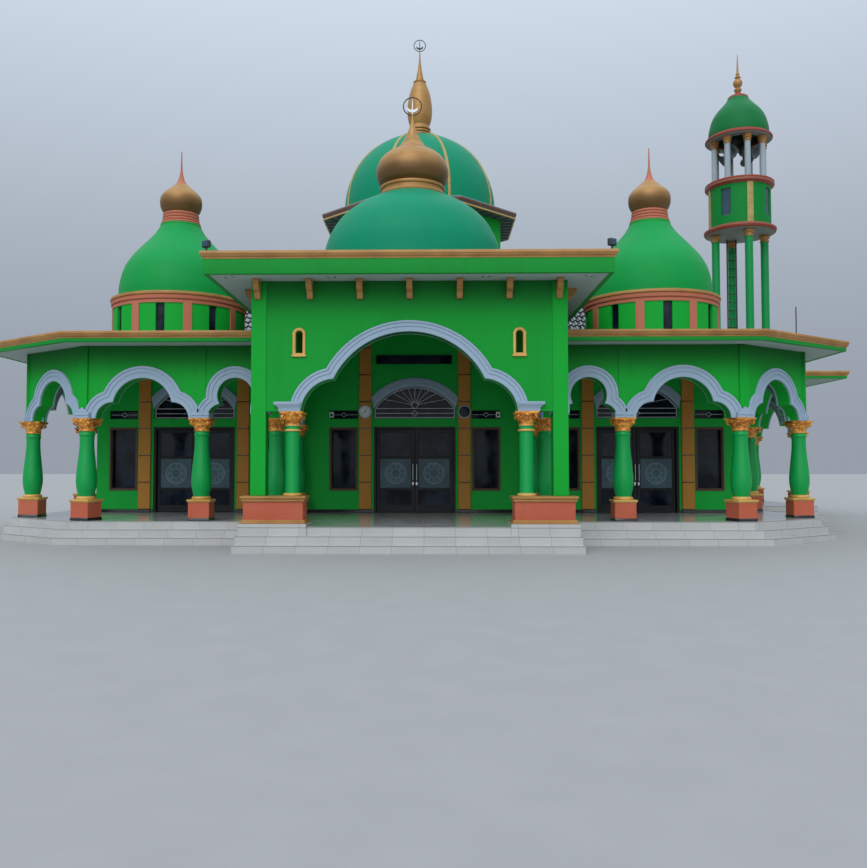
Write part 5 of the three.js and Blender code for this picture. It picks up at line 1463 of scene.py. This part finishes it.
plate = FRONT - 0.055
rim = [(0.14, 0.0), (0.168, 0.0), (0.17, 0.02), (0.16, 0.034), (0.146, 0.034), (0.14, 0.024)]
for x, face in ((-1.27, white_plastic), (1.27, dark_glass)):
    fittings.add(on_the_wall([(0, -0.004), (0.15, -0.004), (0.15, 0.022), (0, 0.022)], x, 3.04,
        plate), face)
    fittings.add(on_the_wall(rim, x, 3.04, plate), grille_white)
clock = (-1.27, plate - 0.0225, 0.0)
for k in range(12):
    c, s = cos(k * pi / 6), sin(k * pi / 6)
    fittings.add(bar((0.1 * c, 3.04 + 0.1 * s), (0.128 * c, 3.04 + 0.128 * s), clock, 0.01, 0.003),
        black_metal)
for length, degrees, width in ((0.07, 62, 0.016), (0.105, -150, 0.011)):
    c, s = cos(radians(degrees)), sin(radians(degrees))
    fittings.add(bar((-0.02 * c, 3.04 - 0.02 * s), (length * c, 3.04 + length * s), clock, width,
        0.006), black_metal)
for x in (-2.13, 2.13):
    fittings.add(block((x - 0.055, FRONT - 0.09, 2.89), (x + 0.055, FRONT + 0.02, 3.04), 0.012),
        white_plastic)
    fittings.add(on_the_wall([(0, 0.088), (0.035, 0.088), (0.038, 0.093), (0, 0.096)], x, 2.955,
        FRONT, 20), dark_iron)
for x in (-3.5, -1.5, 1.5, 3.5):
    fittings.add(lathe([(0, 5.335), (0.085, 5.335), (0.088, 5.308), (0.08, 5.3), (0.066, 5.304),
        (0.05, 5.325), (0, 5.325)], (x, -13.62), 28), steel)
for side in (-1, 1):
    x, y = side * 3.9, -13.8
    fittings.add(rod((x, y, 5.74), (x, y, 5.86), 0.02), dark_iron)
    lamp = block((-0.085, -0.045, -0.07), (0.085, 0.045, 0.07), 0.012)
    pane = block((-0.07, -0.052, -0.055), (0.07, -0.04, 0.055), 0.004)
    for shell, finish in ((lamp, dark_iron), (pane, tower_glass)):
        fittings.add(moved(shell, x, y, 5.92, side * 0.5), finish)
fittings.add(lathe([(0, 5.74), (0.075, 5.74), (0.08, 5.78), (0.072, 5.83), (0.04, 5.87), (0, 5.88)],
    (0.25, -12.72), 24), dark_iron)
fittings.add(rod((8.45, -11.2, 4.48), (8.45, -11.2, 5.14), 0.012), dark_iron)
fittings.make("black_frame")

# %% [markdown]
# ## Side porch
# The porch on the right repeats the veranda's arch twice, in one straight wall on three columns.
# The wall is one outline with both arch curves in its lower edge, given its thickness by a second
# copy.

# %% Porch arcade
def arcade_outline(centres, half, ends, foot, top):
    """The wall's outline as (along, height): top edge, then the lower edge with its arch curves."""
    lower = [arch_line(veranda_arch(half), foot)[::-1] + (c, 0) for c in centres]
    return np.vstack([[(ends[1], foot), (ends[1], top), (ends[0], top), (ends[0], foot)], *lower])


outline = arcade_outline((-PORCH_BAY / 2, PORCH_BAY / 2), PORCH_HALF, (-3.75, 3.75), SPRING,
    SLAB_UNDER)
porch.add(stack([[(x, y, z) for y, z in outline] for x in (11.45, 11.75)]), wall_paint)
for y in (-PORCH_BAY, 0.0, PORCH_BAY):
    for x in (11.442, 11.758):
        porch.add(block((x - 0.008, y - 0.115, 2.9), (x + 0.008, y + 0.115, 4.26), 0.004),
            wall_paint)
porch.make("green_plaster", ["porch_arcade"])

# %% Strips over the veranda columns
strips = Piece("arcade_wall_strips")
for _, strips.mirror in HANDS:
    for (x, y, angle), _ in VERANDA_IMPOSTS:
        strips.add(moved(block((-0.115, -0.166, 2.9), (0.115, 0.166, 4.26), 0.006), x, y, 0, angle),
            arcade_wall_paint_painted_shade)
strips.make("green_plaster")

# %% [markdown]
# ## Great drum
# The eight-sided drum has a small window in each face and a wide eave above. The eave's edge is a
# stack of thin mouldings in pale gold, brown and the pale blue-white of the arch bands, and its
# dark underside has short battens.

# %% Drum trims
def octagon(apothem):
    """The corners of an octagon: the distance to its sides divided by cos 22.5 degrees."""
    t = pi / 8 + np.arange(8) * pi / 4
    return apothem / cos(pi / 8) * np.stack([np.cos(t), np.sin(t)], 1)


edge_brown = painted("edge_brown", (0.16, 0.065, 0.035), 0.5, mottle=0.15)
drum_trim = Piece("great_drum_trims")
eave = octagon(3.23)
for profile, finish in (([(-0.479, -0.014), (0.004, -0.014), (0.004, -0.004), (-0.479, -0.004)],
        soffit_grey), ([(-0.03, -0.024), (0.014, -0.024), (0.018, -0.02), (0.018, 0.016),
        (-0.03, 0.016)], pale_gold), ([(-0.03, 0.014), (0.01, 0.014), (0.01, 0.062),
        (-0.03, 0.062)], soffit_grey), ([(-0.03, 0.06), (0.024, 0.06), (0.03, 0.068), (0.03, 0.096),
        (0.018, 0.104), (-0.03, 0.104)], edge_brown), ([(-0.03, 0.102), (0.032, 0.102),
        (0.046, 0.114), (0.05, 0.15), (0.044, 0.166), (-0.03, 0.17)], edge_brown),
        ([(-0.03, 0.168), (0.048, 0.168), (0.05, 0.174), (0.046, 0.182), (-0.03, 0.182)],
        band_paint), ([(-0.53, 0.168), (0.0, 0.168), (0.0, 0.18), (-0.53, 0.18)], slab_top)):
    drum_trim.add(round_plan(profile, eave, 10.0, closed=True), finish)
drum_trim.add(round_plan([(-0.02, 0.0), (0.19, 0.0), (0.19, 0.02), (0.03, 0.06), (0.022, 0.16),
    (-0.02, 0.17)], octagon(2.75), 8.09, closed=True), slab_top)
for k in range(8):
    turn = k * pi / 4 + pi / 2
    facing = turn - pi / 2
    for u in np.linspace(-1.1, 1.1, 7):
        batten = block((u - 0.02, -3.2, 9.955), (u + 0.02, -2.76, 9.99), 0.004)
        drum_trim.add(moved(batten, turn=turn), soffit_grey)
    place = (2.75 * cos(facing), 2.75 * sin(facing), turn)
    section = [(-0.006, 0.02), (-0.006, -0.06), (0.0, -0.06), (0.0, -0.002), (0.062, -0.002),
        (0.062, 0.026), (0.052, 0.034), (0.01, 0.034)]
    drum_trim.add(on_wall([(-a, b) for a, b in section], oblong(-0.21, 0.21, 8.7, 9.6), place,
        closed=True), pale_gold)
    drum_trim.add(moved(block((-0.3, -2.8, 8.615), (0.3, -2.7, 8.66), 0.008), turn=turn), pale_gold)
    drum_trim.add(moved(block((-0.205, -2.7, 8.705), (0.205, -2.688, 9.595), 0.001), turn=turn),
        dark_glass)
    for low, high in (((-0.012, -2.715, 8.71), (0.012, -2.695, 9.59)),
            ((-0.2, -2.715, 9.14), (0.2, -2.695, 9.16))):
        drum_trim.add(moved(block(low, high, 0.003), turn=turn), black_metal)
drum_trim.make("bronze_paint")

# %% [markdown]
# ## The tile roof
# A hipped roof of glazed clay tiles. Each tile is a plate with two rolls, raised at its lower edge
# where it lies on the row below. One slope is a plane with two axes: u along the eave and v up the
# slope. The tiles stand in straight columns, and where a column meets the hip its corners are moved
# back to the hip line, as a tiler cuts them. The other slopes are the same, turned by quarter
# turns. A picture of tiles would be lighter, but its edge would be flat, and the sky shows in the
# lip of every real tile.

# %% Tiles
ROOF = {"half": 8.4, "foot": 4.547, "top_half": 2.95, "pitch": atan(0.65)}
TILE = {"wide": 0.294, "long": 0.31, "lap": 0.05, "wave": 0.034, "thick": 0.012, "lift": 0.032}
glaze = coated("roof_glaze", (0.012, 0.015, 0.02), 0.12, speck=0.7, IOR=2.2, gloss=0.9)
WAVE_U = np.array([0.0, 0.08, 0.17, 0.26, 0.38, 0.5, 0.58, 0.67, 0.76, 0.88, 1.0])
WAVE_H = np.array([0.05, 0.7, 1.0, 0.6, 0.0, 0.05, 0.7, 1.0, 0.6, 0.0, 0.05])


def roof_point(u, v, lift):
    """A point of the front slope: u along the eave, v up the slope, lift square off it."""
    c, s = cos(ROOF["pitch"]), sin(ROOF["pitch"])
    return np.stack([u, -ROOF["half"] + v * c - lift * s, ROOF["foot"] + v * s + lift * c], -1)


def hidden(x, y, z):
    """True where a tile would lie inside the portico, its canopy or a side drum."""
    ax = abs(x)
    return ((ax < 3.0 and y < -6.6) or (ax < 3.8 and y < -6.6 and z > 5.34)
        or hypot(ax - SIDE_CENTRE[0], y - SIDE_CENTRE[1]) < 1.53)


def tile(u0, u1, v0, limit):
    """One tile: a waved closed plate between u0 and u1, whose lower edge is at v0."""
    u = u0 + WAVE_U * (u1 - u0) * 1.04
    wave = TILE["wave"] * WAVE_H
    rings = []
    for v, lift in ((v0, TILE["lift"]), (v0 + TILE["long"] + TILE["lap"], 0.002)):
        top, below = wave + lift + TILE["thick"], np.full(len(u), lift)[::-1]
        across = np.concatenate([u, u[::-1]])
        step = 0.0004 * np.arange(len(across))
        edge = limit(v)
        across = np.clip(across, -edge - step, edge + step)
        rings.append(roof_point(across, v, np.concatenate([top, below])))
    return stack(rings)


SLOPE = (ROOF["half"] - ROOF["top_half"]) / cos(ROOF["pitch"])
limit = lambda v: ROOF["half"] - v * cos(ROOF["pitch"])
for number, turn in enumerate((0.0, pi / 2, pi, -pi / 2)):
    slope = Piece(f"roof_tiles_{('front', 'right', 'back', 'left')[number]}")
    c, s = cos(turn), sin(turn)
    for v0 in np.arange(-0.03, SLOPE - 0.2, TILE["long"]):
        edge = limit(v0)
        for k in range(-29, 29):
            u0, u1 = k * TILE["wide"], (k + 1) * TILE["wide"]
            middle = np.clip((u0 + u1) / 2, -edge, edge)
            if min(abs(u0), abs(u1)) > edge - 0.03 or (u0 < 0) != (u0 + u1 < 0):
                continue
            x, y, z = roof_point(middle, v0 + 0.17, 0.0)
            if not hidden(c * x - s * y, s * x + c * y, z):
                slope.add(moved(tile(u0, u1, v0, limit), turn=turn), glaze)
    slope.make("roof_tile")

# %% Hips and eaves
ridges = Piece("roof_hips_and_eaves")
cap_line = half_round(0.24, 0.1, 9)
for k in range(4):
    c, s = cos(pi / 4 + k * pi / 2), sin(pi / 4 + k * pi / 2)
    foot = np.array([ROOF["half"] * sqrt(2), ROOF["foot"]])
    head = np.array([ROOF["top_half"] * sqrt(2), ROOF["foot"] + (ROOF["half"] - ROOF["top_half"])
        * 0.65])
    run = (head - foot) / np.linalg.norm(head - foot)
    side = np.tile([-s, c, 0.0], (2, 1))
    rise = np.tile([-run[1] * c, -run[1] * s, -run[0]], (2, 1))
    whole = np.linalg.norm(head - foot)
    for d in np.arange(0, whole - 0.1, 0.36):
        ends = [foot + run * d, foot + run * min(d + 0.4, whole)]
        spine = np.array([[r * c, r * s, z + lift] for (r, z), lift in zip(ends, (0.045, 0.02))])
        ridges.add(carry(cap_line, spine, side, rise), glaze)
eave_line = [(3.14, -8.4), (8.4, -8.4), (8.4, 8.4), (-8.4, 8.4), (-8.4, -8.4), (-3.14, -8.4)]
ridges.add(round_plan([(-0.03, -0.055), (0.018, -0.055), (0.024, -0.049), (0.024, 0.048),
    (0.018, 0.054), (-0.03, 0.054)], eave_line, SLAB_TOP), shade_paint)
top_line = ROOF["top_half"] * np.array([(-1, -1), (1, -1), (1, 1), (-1, 1)])
ridges.add(round_plan([(-0.1, -0.02), (0.03, -0.045), (0.1, -0.085), (0.115, -0.07), (0.05, 0.025),
    (-0.1, 0.035)], top_line, ROOF["foot"] + SLOPE * sin(ROOF["pitch"]), closed=True), slab_top)
ridges.make("roof_tile")

# %% [markdown]
# ## The plain CAD pieces
# Walls, podium, glass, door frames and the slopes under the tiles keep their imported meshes. Their
# finishes read the object's coordinates, which are the building's own metres, so a joint that has
# to fall at every step or every 60 cm can be written as a rule: distance to the nearest multiple.

# %% Floor tiles and dressed walls
def near_multiple(finish, value, step, offset, width):
    """1 close to the multiples of a step (moved by an offset), 0 elsewhere."""
    away = finish.sums("PINGPONG", finish.sums("ADD", value, offset), step / 2)
    return finish.sums("LESS_THAN", away, width)


def paving(name, colour, joint, rough, size=0.6, riser=0.155):
    """Glazed floor tiles: joints on the treads both ways, upright joints on the risers, and a dark
    line under each nosing. Every tile is a little lighter or darker than the next."""
    glaze = Finish(name, Coat_Weight=0.3, Coat_Roughness=0.08)
    sums = glaze.sums
    (x, y, z), normal = glaze.axes(glaze.where), glaze.facing()
    flat, faces_x = (sums("GREATER_THAN", sums("ABSOLUTE", normal[k]), 0.5) for k in (2, 0))
    line_x = near_multiple(glaze, x, size, 0.3, 0.003)
    line_y = near_multiple(glaze, y, size, 0.35, 0.003)
    on_tread = sums("MULTIPLY", flat, sums("MAXIMUM", line_x, line_y))
    upright = sums("ADD", sums("MULTIPLY", faces_x, line_y), sums("MULTIPLY",
        sums("SUBTRACT", 1.0, faces_x), line_x))
    nosing = sums("MULTIPLY", near_multiple(glaze, z, riser, 0.013, 0.006),
        sums("GREATER_THAN", z, 0.05))
    on_riser = sums("MULTIPLY", sums("SUBTRACT", 1.0, flat), sums("MAXIMUM", upright, nosing))
    lines = sums("MAXIMUM", on_tread, on_riser)
    cell = glaze.where
    for step, operation in (((0.3, 0.35, 0.0), "ADD"), ((size, size, riser), "SNAP")):
        cell = glaze.add("VectorMath", {0: cell, 1: step}, operation=operation).outputs[0]
    tile_tone = glaze.add("TexWhiteNoise", {"Vector": cell}, noise_dimensions="3D").outputs[0]
    cloud = glaze.noise(3.5, 5.0)
    tone = glaze.mix(sums("MULTIPLY_ADD", tile_tone, 0.35, sums("MULTIPLY", cloud, 0.5)),
        tuple(c * 0.86 for c in colour), tuple(min(1, c * 1.1) for c in colour))
    wet = sums("MULTIPLY_ADD", lines, 0.5, glaze.spread(cloud, 0.3, 0.7, rough, rough + 0.1))
    return glaze.done(glaze.mix(lines, tone, joint), wet, sums("MULTIPLY", lines, -0.0015))


floor_tiles = paving("floor_tiles", (0.5, 0.5, 0.48), (0.22, 0.22, 0.21), 0.1)


def indoors(nodes, x, y, z):
    """1 on the inner faces of the hall's walls, 0 on the outer ones."""
    return nodes.sums("MULTIPLY", *(nodes.sums("LESS_THAN", nodes.sums("ABSOLUTE", value), edge)
        for value, edge in ((x, 8.052), (y, 7.952))))


# Painted light: the hall's outer walls, in the shade of the portico, verandas and eaves, take a
# lighter green than the wall paint. Their inner faces are pale paint.
hall_paint_painted_light = overlaid(painted("hall_wall_paint_painted_light", (0.004, 0.42, 0.045), 0.55, fade=GREEN_FADE,
    gloss=0.2), indoors, (0.55, 0.57, 0.54))
under_tiles = painted("roof_boards", (0.06, 0.06, 0.062), 0.8, mottle=0.2)


PLAIN_PIECES = ((floor_tiles, "podium"), (wall_paint, "great_drum"), (under_tiles, "tile_roof"),
    (hall_paint_painted_light, "front_wall_1 front_wall_2 front_wall_3 front_wall_4 front_wall_over_doors "
    "right_side_wall left_side_wall back_wall"), (portico_wall_paint_painted_shade,
    "portico_front_wall right_portico_side_wall left_portico_side_wall"),
    (arcade_wall_paint_painted_shade, "right_arcade_wall left_arcade_wall"), (dark_glass,
    "front_window_glass right_window_glass left_window_glass back_window_glass"),
    (black_metal, "left_door_frame main_door_frame right_door_frame"))
for finish, nodes in PLAIN_PIECES:
    for node in nodes.split():
        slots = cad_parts[node].data.materials
        for k in range(len(slots)):
            slots[k] = finish
shown = [name for name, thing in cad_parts.items() if not thing.hide_render]
print("CAD nodes shown:", len(shown))

# %% [markdown]
# ## Floor and light
# The stage is plain: a pale floor, a wide soft sun from the upper left, a weaker and nearly level
# one for the bright horizon behind the viewer, which reaches in under the roofs, and a pale sky
# that fills the shadows. A hard sun would draw shadows that an overcast day doesn't have.

# %% Stage
floor_mesh = bpy.data.meshes.new("stage_floor")
reach = 200.0
floor_mesh.from_pydata([(-reach, -reach, -0.002), (reach, -reach, -0.002), (reach, reach, -0.002),
    (-reach, reach, -0.002)], [], [(0, 1, 2, 3)])
stage_floor = bpy.data.objects.new("stage_floor", floor_mesh)
scene.collection.objects.link(stage_floor)
floor_mesh.materials.append(coated("stage_floor_paint", (0.36, 0.355, 0.34), 0.85, speck=0.02))

for name, energy, spread_angle, leaning in (("soft_sun", 0.92, 50, (42, 0, -18)),
        ("bright_horizon", 0.72, 65, (76, 0, -6))):
    light = bpy.data.lights.new(name, "SUN")
    light.energy, light.angle = energy, radians(spread_angle)
    lamp = bpy.data.objects.new(name, light)
    lamp.rotation_euler = [radians(degrees) for degrees in leaning]
    scene.collection.objects.link(lamp)

# An overcast sky is about three times as bright overhead as at the horizon: 1 + 2 sin (height).
world = bpy.data.worlds.new("pale_sky")
world.use_nodes = True
sky = Nodes(world.node_tree)
backdrop = sky.tree.nodes["Background"].inputs
backdrop["Color"].default_value = (0.76, 0.86, 1.0, 1)
sky.feed(backdrop["Strength"], sky.spread(sky.axes(sky.coords["Generated"])[2], 0.0, 1.0, 0.4, 1.3))
scene.world = world
scene.view_settings.view_transform = "Standard"
